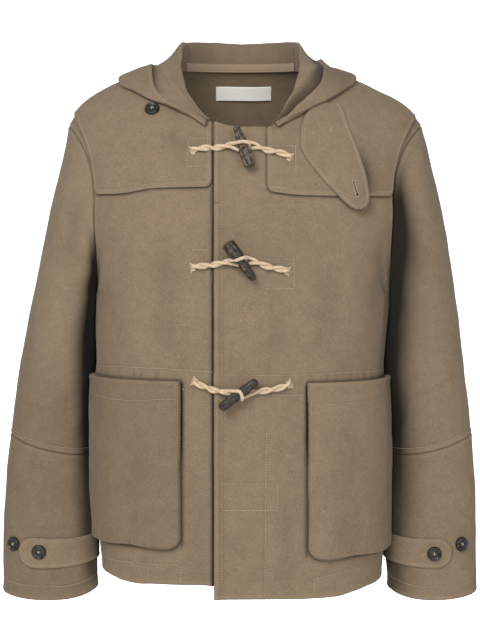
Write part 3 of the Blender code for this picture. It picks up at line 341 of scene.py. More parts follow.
# Stitch lines on the fronts, seen from the front as (x, z) in millimetres.
WAIST_UPPER = {
    -1: ((-197, -383), (-161, -379), (-106, -379), (-35, -383)),
    1: ((-26, -386), (40, -387.5), (92, -387), (123, -386), (158, -386), (193, -389)),
}
WAIST_LOWER = {
    -1: ((-78, -406), (-36, -407)),
    1: ((19, -412), (45, -413.5), (87, -414)),
}
FACING_HIGH = ((40, -274), (39, -340), (37, -410))
FACING_LOW = ((36, -418), (33.5, -500), (32.5, -686))
# How much higher than the plain hem each panel ends, by its place across (left is +).
HEM_RISE = Table("""
across front_right front_left back
-0.205 0.0190 0.0 0.0190
-0.180 0.0185 0.0 0.0160
-0.160 0.0150 0.0 0.0130
-0.138 0.0130 0.0 0.0110
-0.115 0.0145 0.0 0.0090
-0.050 0.0150 -0.0040 0.0060
-0.034 0.0140 -0.0035 0.0055
0.045 0.0140 -0.0030 0.0040
0.075 0.0140 -0.0040 0.0040
0.125 0.0140 -0.0035 0.0045
0.150 0.0140 0.0005 0.0050
0.172 0.0140 0.0045 0.0060
0.205 0.0140 0.0070 0.0070
""")
# Where a panel's grid is fine because something runs down it, by its place across.
LINES_DOWN = {"front_left": (0.0355, 0.0882), "front_right": (-0.0782, -0.0362)}

# Soft folds, seen from the front or from behind: from (x, z) to (x, z) in millimetres, half its
# width and its depth. face is -1 for the front side.
CREASES = Table("""
face x0 z0 x1 z1 width depth
-1 -101 -190 -97 -362 20 -2.6
-1 -140 -215 -138 -350 17 1.6
-1 -62 -200 -58 -340 15 1.2
-1 -174 -260 -168 -372 12 -1.6
-1 8 -290 14 -372 12 0.9
-1 52 -270 48 -370 15 -1.4
-1 84 -230 82 -366 16 1.2
-1 117 -240 113 -372 17 -2.4
-1 148 -215 146 -366 18 1.8
-1 176 -95 170 -190 13 -3.6
-1 186 -200 184 -330 10 -1.8
-1 -62 -92 -104 -66 10 -1.8
-1 -70 -106 -126 -84 12 1.0
-1 -160 -95 -185 -135 14 1.2
-1 -62 -500 -56 -690 13 -1.6
-1 -48 -560 -46 -690 8 1.0
-1 60 -560 62 -690 12 -1.2
1 -150 -175 -160 -380 26 2.6
1 -88 -190 -70 -370 20 -2.8
1 -20 -200 -28 -375 22 2.2
1 46 -185 60 -372 20 -2.6
1 118 -190 122 -376 22 2.4
1 172 -210 160 -370 18 -2.4
1 -130 -410 -142 -640 30 -2.6
1 -52 -420 -40 -670 24 2.4
1 30 -410 38 -650 26 -2.2
1 106 -415 120 -660 30 2.8
1 165 -420 170 -650 18 -2.0
""")
# The same on the sleeves, by side.
SLEEVE_CREASES = Table("""
side face x0 z0 x1 z1 width depth
-1 -1 -222 -150 -236 -250 14 -3.0
-1 -1 -240 -110 -262 -290 18 1.8
-1 -1 -216 -250 -232 -360 14 2.0
-1 -1 -236 -470 -226 -415 7 -2.0
-1 -1 -226 -476 -218 -425 6 1.6
-1 -1 -250 -480 -262 -380 16 -1.6
-1 -1 -285 -500 -276 -620 18 -1.4
-1 -1 -232 -520 -228 -640 14 1.4
-1 1 -240 -160 -262 -300 18 -3.2
-1 1 -270 -300 -230 -400 18 2.2
-1 1 -300 -470 -224 -430 14 -2.4
-1 1 -292 -520 -280 -640 18 1.6
1 -1 226 -150 244 -245 14 -3.0
1 -1 252 -115 272 -290 18 1.8
1 -1 218 -240 236 -370 14 2.0
1 -1 214 -474 222 -418 6 -2.2
1 -1 226 -474 232 -425 6 1.8
1 -1 240 -474 252 -400 12 -1.6
1 -1 262 -500 272 -620 18 1.6
1 -1 232 -510 236 -620 14 -1.8
1 1 246 -150 268 -310 18 -3.2
1 1 236 -300 290 -380 18 2.2
1 1 226 -440 300 -470 14 -2.4
1 1 284 -520 276 -640 18 1.6
""")


# --- the coat's form ---


def power(x, exponent):
    return np.sign(x) * np.abs(x) ** exponent


def half_width(side, z):
    """Half the body's section at height z, as it would run on past the armhole."""
    own = np.where(side > 0, BODY.at("half_left", z), BODY.at("half_right", z))
    return own + ARM_FLARE * ease(z, ARM_LOW, CHEST)


def section(face, t, z):
    """x and y of the body's section at a height up to the chest line."""
    side = np.where(np.asarray(t) < 0, -1, 1)
    wide = half_width(side, z)
    deep = BODY.at("front" if face < 0 else "back", z)
    rise = np.clip((CHEST - z) / (CHEST - ARM_LOW), 0, 1)
    edge = ARM_DEPTH * np.sqrt(1 - rise**2)
    turn = np.arccos(np.clip(edge / deep, 0, 1) ** (SQUARE / 2)) * t
    x = wide * power(np.sin(turn), 2 / SQUARE)
    y = face * deep * np.abs(np.cos(turn)) ** (2 / SQUARE)
    return x, y


def girth(face, t, z):
    """Distances along the body's section at a height, and its x."""
    x, y = section(face, t, np.full(t.shape, z))
    return run_of(np.stack([x, y, 0 * x], axis=-1)), x


def body(face, t, v):
    """The body's smooth surface.

    face is -1 for the fronts and 1 for the back. t runs from the right (-1) over the middle (0) to
    the left (1) side seam or armhole, v from the hem (0) over the chest line (1) to the top (2).
    """
    t, v = np.broadcast_arrays(np.asarray(t, float), np.asarray(v, float))
    side = np.where(t < 0, -1, 1)
    name = "front" if face < 0 else "back"
    z = HEM + (CHEST - HEM) * np.clip(v, 0, 1)
    x, y = section(face, t, z)
    edge = np.where(side > 0, section(face, 1.0, CHEST)[0], -section(face, -1.0, CHEST)[0])
    column = np.abs(x)
    along = np.clip((column - NECK) / (edge - NECK), 0, 1)
    seam = np.where(side > 0, SHOULDER.at("left", along), SHOULDER.at("right", along))
    close = np.where(column < NECK, NECK_CLOSE.at(name, column), seam)
    bend = 2.0 if face > 0 else 1.6 + 0.4 * ease(column, 0.04, 0.16)
    share = np.clip((NECKLINE.at(name, x) - CHEST) / (close - CHEST), 0, 1)
    stop = np.where(column < NECK, np.arcsin(share ** (bend / 2)), math.pi / 2)
    turn = stop * np.clip(v - 1, 0, 1)
    tip = np.where(side > 0, TIP[1], TIP[-1])
    out = np.sin(turn) ** TIP_DROP * (NECK + along * (tip - NECK) - column)
    x = np.where(column > NECK, side * (column + out), x)
    y = np.where(v > 1, RIDGE_Y + (y - RIDGE_Y) * np.cos(turn) ** (2 / bend), y)
    z = np.where(v > 1, CHEST + (close - CHEST) * np.sin(turn) ** (2 / bend), z)
    return np.stack([x, y, z], axis=-1)


def normals(surface, a, b, limits, sign):
    """Unit normals of a surface of two parameters, from small steps inside its limits."""
    step = 0.002
    (a_low, a_high), (b_low, b_high) = limits
    across = surface(np.minimum(a + step, a_high), b) - surface(np.maximum(a - step, a_low), b)
    along = surface(a, np.minimum(b + step, b_high)) - surface(a, np.maximum(b - step, b_low))
    normal = sign * np.cross(across, along)
    return normal / np.linalg.norm(normal, axis=-1, keepdims=True)


def fold_depth(face, t, z):
    """The large soft folds down the body."""
    depth = np.zeros(np.shape(t))
    for row in FOLDS.rows():
        along = ease(z, row["bottom"] - 0.06, row["bottom"] + 0.08)
        along = along * (1 - ease(z, row["top"] - 0.08, row["top"]))
        if row["face"] == face:
            depth = depth + row["depth"] * hill(t, row["at"], row["width"]) * along
    return depth


def lap(x):
    """How far the left front is moved out, to lie over the right one."""
    over = LAP * (1 - ease(x, *LAP_FADE))
    return over + RIDGE * hill(x, LAP_EDGE + RIDGE_WIDTH / 2, RIDGE_WIDTH)


def torso(face, t, v, over=0.0, lapped=False):
    """The body's outer surface with its folds, moved out by over, on the left front if lapped."""
    t, v = np.broadcast_arrays(np.asarray(t, float), np.asarray(v, float))
    points = body(face, t, v)
    move = over + fold_depth(face, t, points[..., 2])
    if np.any(lapped):
        move = move + lap(points[..., 0]) * lapped
    limits = ((-1.0, 1.0), (0.0, 2.0))
    out = normals(lambda a, b: body(face, a, b), t, v, limits, -face)
    return points + out * move[..., None]


def armhole(side, angle, share=1.0, over=0.0):
    """The armhole's loop: angle 0 at the shoulder point, a quarter turn on at the front.

    A share below 1 gives a line beside the loop, and over moves it out of the body's face.
    """
    rise = np.cos(angle)
    turn = np.arccos(np.clip(rise, 0, 1))
    low = (CHEST + (CHEST - ARM_LOW) * rise - HEM) / (CHEST - HEM)
    v = np.where(rise >= 0, 2 - turn / (math.pi / 2), low)
    form = torso if over else body
    front, back = (form(face, side * share + 0 * v, v, *([over] if over else [])) for face in (-1, 1))
    return np.where((np.sin(angle) >= 0)[..., None], front, back)


def sleeve(side, angle, ring, over=0.0):
    """A sleeve's outer surface, by the angle round it and the ring down it, moved out by over."""

    def smooth_sleeve(angle, ring):
        size = {n: SLEEVE.at(n, ring) for n in SLEEVE.names[1:]}
        hand = "left" if side > 0 else "right"
        cosine = power(np.cos(angle), 2 / SLEEVE_SQUARE)
        sine = power(np.sin(angle), 2 / SLEEVE_SQUARE)
        outer, inner = size["out_" + hand], size["in_" + hand]
        x = (outer + inner) / 2 + (outer - inner) / 2 * cosine - size["bow"] * sine**2
        y = size["middle"] - size["depth"] * sine
        z = (size["out_z"] + size["in_z"]) / 2 + (size["out_z"] - size["in_z"]) / 2 * cosine
        tube = np.stack([side * x, y, z - size["dip"] * sine**2], axis=-1)
        start = np.clip(ring, 0, 1)[..., None]
        return np.where(start < 1, armhole(side, angle) * (1 - start) + tube * start, tube)

    angle, ring = np.broadcast_arrays(np.asarray(angle, float), np.asarray(ring, float))
    points = smooth_sleeve(angle, ring)
    if not np.any(over):
        return points
    limits = ((-math.pi, 2 * math.pi), (0.0, CUFF))
    return points + over * normals(smooth_sleeve, angle, ring, limits, side)


def neck_edge(side, angle):
    """The edge of the neck opening at an angle (degrees) round the neck, from the front."""
    x = side * np.concatenate([np.linspace(0.004, NECK, 90), np.linspace(NECK, 0.004, 90)])
    edge = []
    for face, half in ((-1, x[:90]), (1, x[90:])):
        t = t_of(face, half)
        edge.append(torso(face, t, 2.0, lapped=face < 0 < side))
    edge = np.concatenate(edge)
    turn = np.degrees(np.arctan2(np.abs(edge[:, 0]), -edge[:, 1]))
    return np.stack([np.interp(angle, turn, edge[:, k]) for k in range(3)], axis=-1)


def hood(angle, s):
    """The hood's middle surface, by the angle round the neck (left positive) and down its section:
    neck seam 0, crest 1, fall 2, lowest fold 3, band 4, free rim 5."""
    angle, s = np.broadcast_arrays(np.asarray(angle, float), np.asarray(s, float))
    round_neck = np.abs(angle)
    side = np.where(angle < 0, -1, 1)
    left, right = neck_edge(1, round_neck), neck_edge(-1, round_neck)
    edge = np.where((side > 0)[..., None], left, right)
    knots = [(np.hypot(edge[..., 0], edge[..., 1]) - CLOTH / 2, edge[..., 2] + NECK_SEAT)]
    for name in ("crest", "fall", "fold", "band", "rim"):
        knots.append([
            np.where(side > 0, *(HOOD[own].at(name + axis, round_neck) for own in (1, -1)))
            for axis in ("_r", "_z")
        ])
    radius, height = (spline(np.stack(values), s) for values in zip(*knots))
    turn = np.radians(round_neck)
    x, y = side * np.sin(turn), -np.cos(turn)
    step = 0.002
    low, under, high = (ground(x * r, y * r) for r in (radius - step, radius, radius + step))
    slope = np.where((low > -1) & (high > -1), (high - low) / (2 * step), 0)
    lifted = YOKE_STEP + HOOD_LIFT.at("lift", s) + np.where((side > 0) & (y < 0), lap(x * radius), 0)
    lifted = lifted + 0.004 * ease(round_neck, 92, 118)
    rest = under + lifted * np.sqrt(1 + np.clip(slope, -2, 2) ** 2)
    height = np.where((s > 1) & (under > -1), np.maximum(height, rest), height)
    (seam_r, seam_z), (crest_r, crest_z) = knots[:2]
    back_in = np.clip((seam_r - radius) / np.maximum(seam_r - crest_r, 0.001), 0, 1)
    roll = seam_z + (crest_z - seam_z) * back_in + ROLL * np.clip((s - 1) / 0.3, 0, 1)
    height = np.where((s > 1) & (s < 2) & (crest_r < seam_r), np.maximum(height, roll), height)
    return np.stack([x * radius, y * radius, height], axis=-1)


def spline(knots, s):
    """A smooth curve through evenly numbered knots, read at s."""
    last = len(knots) - 1
    i = np.clip(np.floor(s).astype(int), 0, last - 1)
    f = s - i
    before, start, end, after = (
        np.take_along_axis(knots, np.clip(i + k, 0, last)[None], 0)[0] for k in (-1, 0, 1, 2)
    )
    slope_in, slope_out = (end - before) / 2, (after - start) / 2
    return (
        start * (1 + 2 * f) * (1 - f) ** 2
        + slope_in * f * (1 - f) ** 2
        + end * (3 - 2 * f) * f**2
        - slope_out * f**2 * (1 - f)
    )


def read_rows(grid, at):
    """A grid's rows read at places between them, on smooth curves through the rows."""
    last = len(grid) - 1
    i = np.clip(np.floor(at).astype(int), 0, last - 1)
    f = (at - i).reshape((-1,) + (1,) * (grid.ndim - 1))
    before, start, end, after = (grid[np.clip(i + k, 0, last)] for k in (-1, 0, 1, 2))
    return (
        start * (1 + 2 * f) * (1 - f) ** 2
        + (end - before) / 2 * f * (1 - f) ** 2
        + end * (3 - 2 * f) * f**2
        - (after - start) / 2 * f**2 * (1 - f)
    )


def halve(rest, low, high):
    """Solves rest = 0 between low and high, where rest only rises or only falls."""
    rising = rest(high) > rest(low)
    for _ in range(20):
        middle = (low + high) / 2
        go_on = (rest(middle) < 0) == rising
        low, high = np.where(go_on, middle, low), np.where(go_on, high, middle)
    return (low + high) / 2


def t_of(face, x, z=CHEST):
    """t of the body's section at x and a height up to the chest line."""
    x = np.asarray(x, float)
    return halve(lambda t: section(face, t, z)[0] - x, 0 * x - 1.0, 0 * x + 1.0)


def faces_of(rows, columns, closed=False):
    """The four corners of every cell of a grid."""
    steps = columns if closed else columns - 1
    row, column = np.meshgrid(np.arange(rows - 1), np.arange(steps), indexing="ij")
    after = (column + 1) % columns
    first, second = row * columns, (row + 1) * columns
    cells = np.stack([first + column, first + after, second + after, second + column], axis=-1)
    return cells.reshape(-1, 4)


def tree_of(points, closed=False):
    """A search tree over a grid of points."""
    flat = points.reshape(-1, 3)
    return BVHTree.FromPolygons(flat.tolist(), faces_of(*points.shape[:2], closed).tolist())


class Shoulders:
    """The top of the body seen from above, kept to be asked often."""

    tree = None


def ground(x, y):
    """Height of the shoulders at a place seen from above, and -1 over the open neck."""
    if Shoulders.tree is None:
        t, v = np.linspace(-1, 1, 260)[None], np.linspace(1, 2, 120)[:, None]
        front, back = body(-1, t, v), body(1, t, v)
        cells = faces_of(*front.shape[:2])
        cells = np.concatenate([cells, cells + front.size // 3])
        corners = np.concatenate([front.reshape(-1, 3), back.reshape(-1, 3)])
        Shoulders.tree = BVHTree.FromPolygons(corners.tolist(), cells.tolist())
    x, y = np.broadcast_arrays(np.asarray(x, float), np.asarray(y, float))
    height = np.full(x.size, -1.0)
    down = Vector((0, 0, -1))
    for number, (a, b) in enumerate(zip(x.ravel(), y.ravel())):
        found = Shoulders.tree.ray_cast(Vector((a, b, 1.0)), down)[0]
        if found is not None:
            height[number] = found.z
    return height.reshape(x.shape)


def soften(points):
    """Eases the slight bend that runs down from the neck point."""
    across, height = np.abs(points[..., 0]), points[..., 2]
    weight = (0.5 * hill(across, NECK, 0.030) * ease(height, CHEST, CHEST + 0.03))[:, 1:-1, None]
    for _ in range(24):
        points[:, 1:-1] += weight * ((points[:, :-2] + points[:, 2:]) / 2 - points[:, 1:-1])
    return points


def sleeve_form(side):
    """A search tree over a sleeve's smooth form."""
    turns, rings = np.linspace(0, 2 * math.pi, 90, endpoint=False)[None], np.linspace(1, CUFF, 90)[:, None]
    return tree_of(sleeve(side, turns, rings), True)


def distance(points, trees, reach):
    """Distance from each point to the nearest of some surfaces, reach at most."""
    away = np.full(points.shape[:-1], reach)
    flat, result = points.reshape(-1, 3), away.reshape(-1)
    for tree in trees:
        for number, point in enumerate(flat):
            found = tree.find_nearest(point, result[number])[3]
            if found is not None:
                result[number] = found
    return away


# --- grids ---


def places(length, cell, low=EDGE_STEPS, high=EDGE_STEPS, lines=()):
    """Distances along a length: close together at its ends and at stitch lines."""
    count = max(2, int(round(length / cell)))
    steps = np.linspace(0, length, count + 1)[1:-1]
    marks = [np.array([0.0, length])]
    if low is not None:
        steps = steps[steps > low.max() + 0.0015]
        marks.append(low)
    if high is not None:
        steps = steps[steps < (length - high).min() - 0.0015]
        marks.append(length - high)
    for line in lines:
        own = line + LINE_STEPS
        steps = steps[(steps < own[0] - 0.001) | (steps > own[-1] + 0.001)]
        marks.append(own)
    every = np.unique(np.round(np.concatenate([steps] + marks), 6))
    every = every[(every >= 0) & (every <= length)]
    every = every[np.concatenate([[True], np.diff(every) > 0.00025])]
    every[-1] = length
    return every


def run_of(points):
    """Distances along a row of points."""
    return np.concatenate([[0], np.cumsum(np.linalg.norm(np.diff(points, axis=0), axis=1))])


def grid_normals(points, closed=False):
    """Unit normals of a grid of points."""
    if closed:
        across = np.roll(points, -1, axis=1) - np.roll(points, 1, axis=1)
    else:
        across = np.gradient(points, axis=1)
    along = np.gradient(points, axis=0)
    normal = np.cross(across, along)
    size = np.linalg.norm(normal, axis=-1, keepdims=True)
    return normal / np.maximum(size, 1e-12)


def near(points, lines, reach=0.012):
    """Distance from each point to the nearest of some lines, and a large number beyond reach."""
    away = np.full(points.shape[:-1], 1.0)
    lines = [resample(line, 0.0009) for line in lines if len(line) > 1]
    if not lines:
        return away
    marks = np.concatenate(lines)
    search = KDTree(len(marks))
    for number, mark in enumerate(marks):
        search.insert(mark, number)
    search.balance()
    low, high = marks.min(axis=0) - reach, marks.max(axis=0) + reach
    close = np.all((points > low) & (points < high), axis=-1)
    found = np.array([search.find(point)[2] for point in points[close]])
    if len(found):
        away[close] = found
    return away


def closed_up(line):
    """A line that ends where it starts."""
    return np.concatenate([line, line[:1]])


def meet(tree, x, z, face=-1):
    """Where a surface is first met from the front or from behind, and its normal there."""
    found, normal, _, _ = tree.ray_cast(Vector((x, face * 0.6, z)), Vector((0, -face, 0)))
    if found is not None and normal.y * face < 0:
        normal = -normal
    return found, normal


def resample(line, step):
    """The points of a line at even steps."""
    line = np.asarray(line, float)
    run = run_of(line)
    keep = np.concatenate([[True], np.diff(run) > 1e-9])
    line, run = line[keep], run[keep]
    count = max(2, int(round(run[-1] / step)) + 1)
    at = np.linspace(0, run[-1], count)
    return np.stack([np.interp(at, run, line[:, k]) for k in range(3)], axis=-1)


COAT = {}


class Cloth:
    """A cut piece as a grid of points on its smooth outer face, with what is sewn along it."""

    def __init__(self, points, outward, closed=False):
        self.points = points
        self.closed = closed
        self.normals = grid_normals(points, closed)
        rows, columns = points.shape[:2]
        middle = rows // 2, columns // 2
        if np.dot(self.normals[middle], outward) < 0:
            self.normals = -self.normals
        self.edges, self.seams, self.stitches, self.fine, self.grooves = [], [], [], [], []
        self.extra = np.zeros(points.shape[:2])
        self.shade = np.zeros(points.shape[:2])
        self.tree = tree_of(points, closed)

    def darken(self, amount):
        """Lays a shadow where it is deeper than what is there already."""
        self.shade = np.maximum(self.shade, amount)

    def border(self, side, inset=0.0):
        """The line at a distance inside a border: left, right, first or last."""
        grid = {
            "left": self.points,
            "right": self.points[:, ::-1],
            "first": self.points.transpose(1, 0, 2),
            "last": self.points.transpose(1, 0, 2)[:, ::-1],
        }[side]
        if inset == 0:
            return grid[:, 0]
        line = []
        for row in grid:
            run = run_of(row[: min(len(row), 60)])
            line.append([np.interp(inset, run, row[: len(run), k]) for k in range(3)])
        return np.array(line)

    def fold(self, *sides):
        for side in sides:
            self.edges.append(self.border(side))

    def seam(self, *sides):
        for side in sides:
            self.seams.append(self.border(side))

    def topstitch(self, inset, *sides):
        """Stitches along folded edges, trimmed where they would run out at the next edge."""
        for side in sides:
            line = self.border(side, inset)
            others = [self.border(other) for other in sides if other != side]
            if others:
                line = line[near(line, others) > inset - 0.0004]
            if len(line) > 1:
                self.fine.append(line)

    def across(self, flat, face=-1, sewn=True):
        """A stitch line, or only its groove, seen from the front or back as (x, z) in millimetres."""
        flat = np.array(flat, float) / 1000
        line = resample(np.stack([flat[:, 0], 0 * flat[:, 0], flat[:, 1]], axis=-1), 0.002)
        found = [meet(self.tree, x, z, face)[0] for x, _, z in line]
        found = np.array([spot for spot in found if spot is not None])
        (self.stitches if sewn else self.grooves).append(found)

    def relief(self):
        """How far the sewing draws the cloth in or lets it swell: edges, welts, seams, stitches."""
        move = np.zeros(self.points.shape[:2])
        if self.edges:
            away = near(self.points, self.edges)
            turn = np.clip(1 - away / EDGE_ROUND, 0, 1)
            move -= EDGE_DROP * (1 - np.sqrt(1 - np.minimum(turn, 1) ** 2))
            move += WELT * bell(away - 0.0032, 0.0026)
        if self.seams:
            away = near(self.points, self.seams)
            move += 0.9 * WELT * bell(away - 0.0036, 0.0024) - SEAM_DIP * bell(away, SEAM_WIDTH)
        if self.stitches or self.fine:
            move -= GROOVE * bell(near(self.points, self.stitches + self.fine), GROOVE_WIDTH)
        if self.grooves:
            move -= 0.55 * GROOVE * bell(near(self.points, self.grooves), GROOVE_WIDTH)
        return move


def shell(name, cloth, wall, slot, replaced, middle=False):
    """Makes a cloth piece: two skins and a rim, with its weave's directions as UVs in metres."""
    move = cloth.relief()
    lift = cloth.extra + (wall / 2 if middle else 0.0)
    outer = cloth.points + cloth.normals * (lift + move)[..., None]
    thick = wall + np.maximum(move, -0.38 * wall)
    inner = cloth.points + cloth.normals * (lift - thick)[..., None]
    rows, columns = outer.shape[:2]
    count = rows * columns
    cells = faces_of(rows, columns, cloth.closed)
    facing = np.cross(outer[1:, :-1] - outer[:-1, :-1], outer[:-1, 1:] - outer[:-1, :-1])
    flip = (facing * cloth.normals[:-1, :-1]).sum() > 0
    first, left = np.arange(columns), np.arange(rows) * columns
    last, right = first + (rows - 1) * columns, left + columns - 1
    if cloth.closed:
        loops = [closed_up(first)[::-1], closed_up(last)]
    else:
        loops = [first[::-1], right[::-1], last, left]
    sides = [np.stack([loop[:-1], loop[1:], loop[1:] + count, loop[:-1] + count], -1) for loop in loops]
    rim = np.concatenate(sides)
    upper, lower = (cells[:, ::-1], cells + count) if flip else (cells, cells[:, ::-1] + count)
    faces = np.concatenate([upper, lower, rim[:, [1, 0, 3, 2]] if flip else rim])
    mesh = bpy.data.meshes.new(name)
    points = np.concatenate([outer.reshape(-1, 3), inner.reshape(-1, 3)])
    mesh.from_pydata(points.tolist(), [], faces.tolist())
    rights = np.linalg.norm(np.diff(cloth.points, axis=1), axis=2)
    downs = np.linalg.norm(np.diff(cloth.points, axis=0), axis=2)
    across = np.pad(rights.cumsum(axis=1), ((0, 0), (1, 0)))
    along = np.pad(downs.cumsum(axis=0), ((1, 0), (0, 0)))
    across = across - across[:, columns // 2][:, None]
    across = (across + np.median(across, axis=0)[None]) / 2
    along = (along + np.median(along, axis=1)[:, None]) / 2
    flat = np.stack([across, along], axis=-1).reshape(-1, 2)
    lay_flat(mesh, np.concatenate([flat, flat + (0.31, 0.17)]))
    # the relief also sets the painted shade and painted highlight of the wool's colour
    mark(mesh, "relief", np.tile(move.ravel() * 1000, 2))
    # painted shadows that darken the wool's colour
    mark(mesh, "shade", np.tile(cloth.shade.ravel(), 2))
    piece = finish_piece(name, mesh, material(slot), replaced)
    wide, tall = float(rights.sum(axis=1).max()), float(downs.sum(axis=0).max())
    corners = [cloth.points[:-1, :-1], cloth.points[:-1, 1:], cloth.points[1:, 1:], cloth.points[1:, :-1]]
    area = np.linalg.norm(np.cross(corners[2] - corners[0], corners[3] - corners[1]), axis=-1).sum() / 2
    if cloth.closed:
        gap = np.linalg.norm(cloth.points[:, -1] - cloth.points[:, 0], axis=1)
        area += float((gap[:-1] * downs[:, 0]).sum())
        wide += float(gap.max())
    area = float(min(area, wide * tall))
    cloth.skin, cloth.inside = tree_of(outer, cloth.closed), tree_of(inner, cloth.closed)


def lay_flat(mesh, flats):
    """Gives a mesh its flat coordinates, from those of its points."""
    corner = np.empty(len(mesh.loops), dtype=np.int64)
    mesh.loops.foreach_get("vertex_index", corner)
    flats = np.array(flats)[corner].astype(np.float32)
    mesh.uv_layers.new(name="cut").data.foreach_set("uv", flats.ravel())


def mark(mesh, name, values):
    """Keeps a number at each of a mesh's points, which its material reads."""
    mesh.attributes.new(name, "FLOAT", "POINT").data.foreach_set("value", np.asarray(values, np.float32))


def make_wool(node, cloth, wall, rests_on=(), middle=False):
    """Makes the piece of wool that stands for a node, with its stitches."""
    shell("cloth_" + node, cloth, wall, "wool", [node], middle)
    sew("stitches_" + node, cloth)
    COAT[node] = cloth


def finish_piece(name, mesh, stuff, replaced=()):
    """Puts a mesh in the scene with its material and the nodes that it stands for."""
    mesh.materials.append(stuff)
    mesh.shade_smooth()
    piece = bpy.data.objects.new(name, mesh)
    bpy.context.scene.collection.objects.link(piece)
    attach(piece, "root")
    if replaced:
        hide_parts(*replaced)
    return piece


# --- sewing thread ---


def sew(name, cloth, lines=None, long=None, gap=None, thick=None, inside=False):
    """Lays stitches on a finished piece, along its stitch lines or along others near it."""
    skin, sign = (cloth.inside, -1) if inside else (cloth.skin, 1)
    sizes = bpy.context.scene.coat_sizes
    long, gap = long or sizes.stitch, gap or sizes.stitch_gap
    thick = thick or sizes.thread / 2
    runs = [(line, thick) for line in (cloth.stitches if lines is None else lines)]
    if lines is None:
        runs += [(line, 0.78 * thick) for line in cloth.fine]
    points, faces = [], []
    for line, thick in runs:
        if len(line) < 2:
            continue
        fine = resample(line, 0.0008)
        run = run_of(fine)
        start = 0.4 * gap
        while start + long < run[-1]:
            at = start + np.array([0, 0.5, 1]) * long
            ends = [Vector(end) for end in np.stack([np.interp(at, run, fine[:, k]) for k in range(3)], -1)]
            start += long + gap
            spots = [skin.find_nearest(end) for end in ends]
            if any(spot[0] is None for spot in spots):
                continue
            normal = spots[1][1]
            away = (spots[1][0] - ends[1]).length
            if away > 0.006:
                continue
            if normal.dot(Vector(nearest_normal(cloth, ends[1]))) * sign < 0:
                normal = -normal
            path = [spot[0] + normal * lift * thick for spot, lift in zip(spots, (-0.7, 0.55, -0.7))]
            add_stitch(points, faces, path, normal, thick)
    if not points:
        return None
    mesh = bpy.data.meshes.new(name)
    mesh.from_pydata(points, [], faces)
    return finish_piece(name, mesh, material("thread"))


def nearest_normal(cloth, point):
    """The outward normal of the cloth's grid near a point."""
    if not hasattr(cloth, "search"):
        flat = cloth.points.reshape(-1, 3)
        cloth.search = KDTree(len(flat))
        for number, spot in enumerate(flat):
            cloth.search.insert(spot, number)
        cloth.search.balance()
    return cloth.normals.reshape(-1, 3)[cloth.search.find(point)[1]]


def add_stitch(points, faces, path, normal, thick):
    """One stitch: a short bent spindle with four sides."""
    way = (path[2] - path[0]).normalized()
    aside = way.cross(normal).normalized() * thick
    up = normal * thick
    base = len(points)
    points.append(tuple(path[0] - way * thick * 0.4))
    for share, size in ((0.15, 0.75), (0.5, 1.0), (0.85, 0.75)):
        middle = path[0] * (1 - share) ** 2 + path[1] * 2 * share * (1 - share) + path[2] * share**2
        for shift in (aside, up, -aside, -up):
            points.append(tuple(middle + shift * size))
    points.append(tuple(path[2] + way * thick * 0.4))
    last = base + 13
    for k in range(4):
        after = (k + 1) % 4
        faces.append((base, base + 1 + after, base + 1 + k))
        for ring in range(2):
            a, b = base + 1 + ring * 4, base + 5 + ring * 4
            faces.append((a + k, a + after, b + after, b + k))
        faces.append((base + 9 + k, base + 9 + after, last))


# --- materials ---


class Signal:
    """A shader socket that can be used in plain arithmetic."""

    def __init__(self, web, socket):
        self.web, self.socket = web, socket

    def _math(self, operation, *values):
        return self.web.node("ShaderNodeMath", {"operation": operation}, *values)

    def __add__(self, other):
        return self._math("ADD", self, other)

    def __radd__(self, other):
        return self._math("ADD", other, self)

    def __sub__(self, other):
        return self._math("SUBTRACT", self, other)

    def __rsub__(self, other):
        return self._math("SUBTRACT", other, self)

    def __mul__(self, other):
        return self._math("MULTIPLY", self, other)

    def __rmul__(self, other):
        return self._math("MULTIPLY", other, self)

    def __truediv__(self, other):
        return self._math("DIVIDE", self, other)

    def __rtruediv__(self, other):
        return self._math("DIVIDE", other, self)

    def sine(self):
        return self._math("SINE", self)

    def fraction(self):
        return self._math("FRACT", self)

    def size(self):
        return self._math("ABSOLUTE", self)

    def clamp(self):
        return self.web.node("ShaderNodeClamp", {}, self)


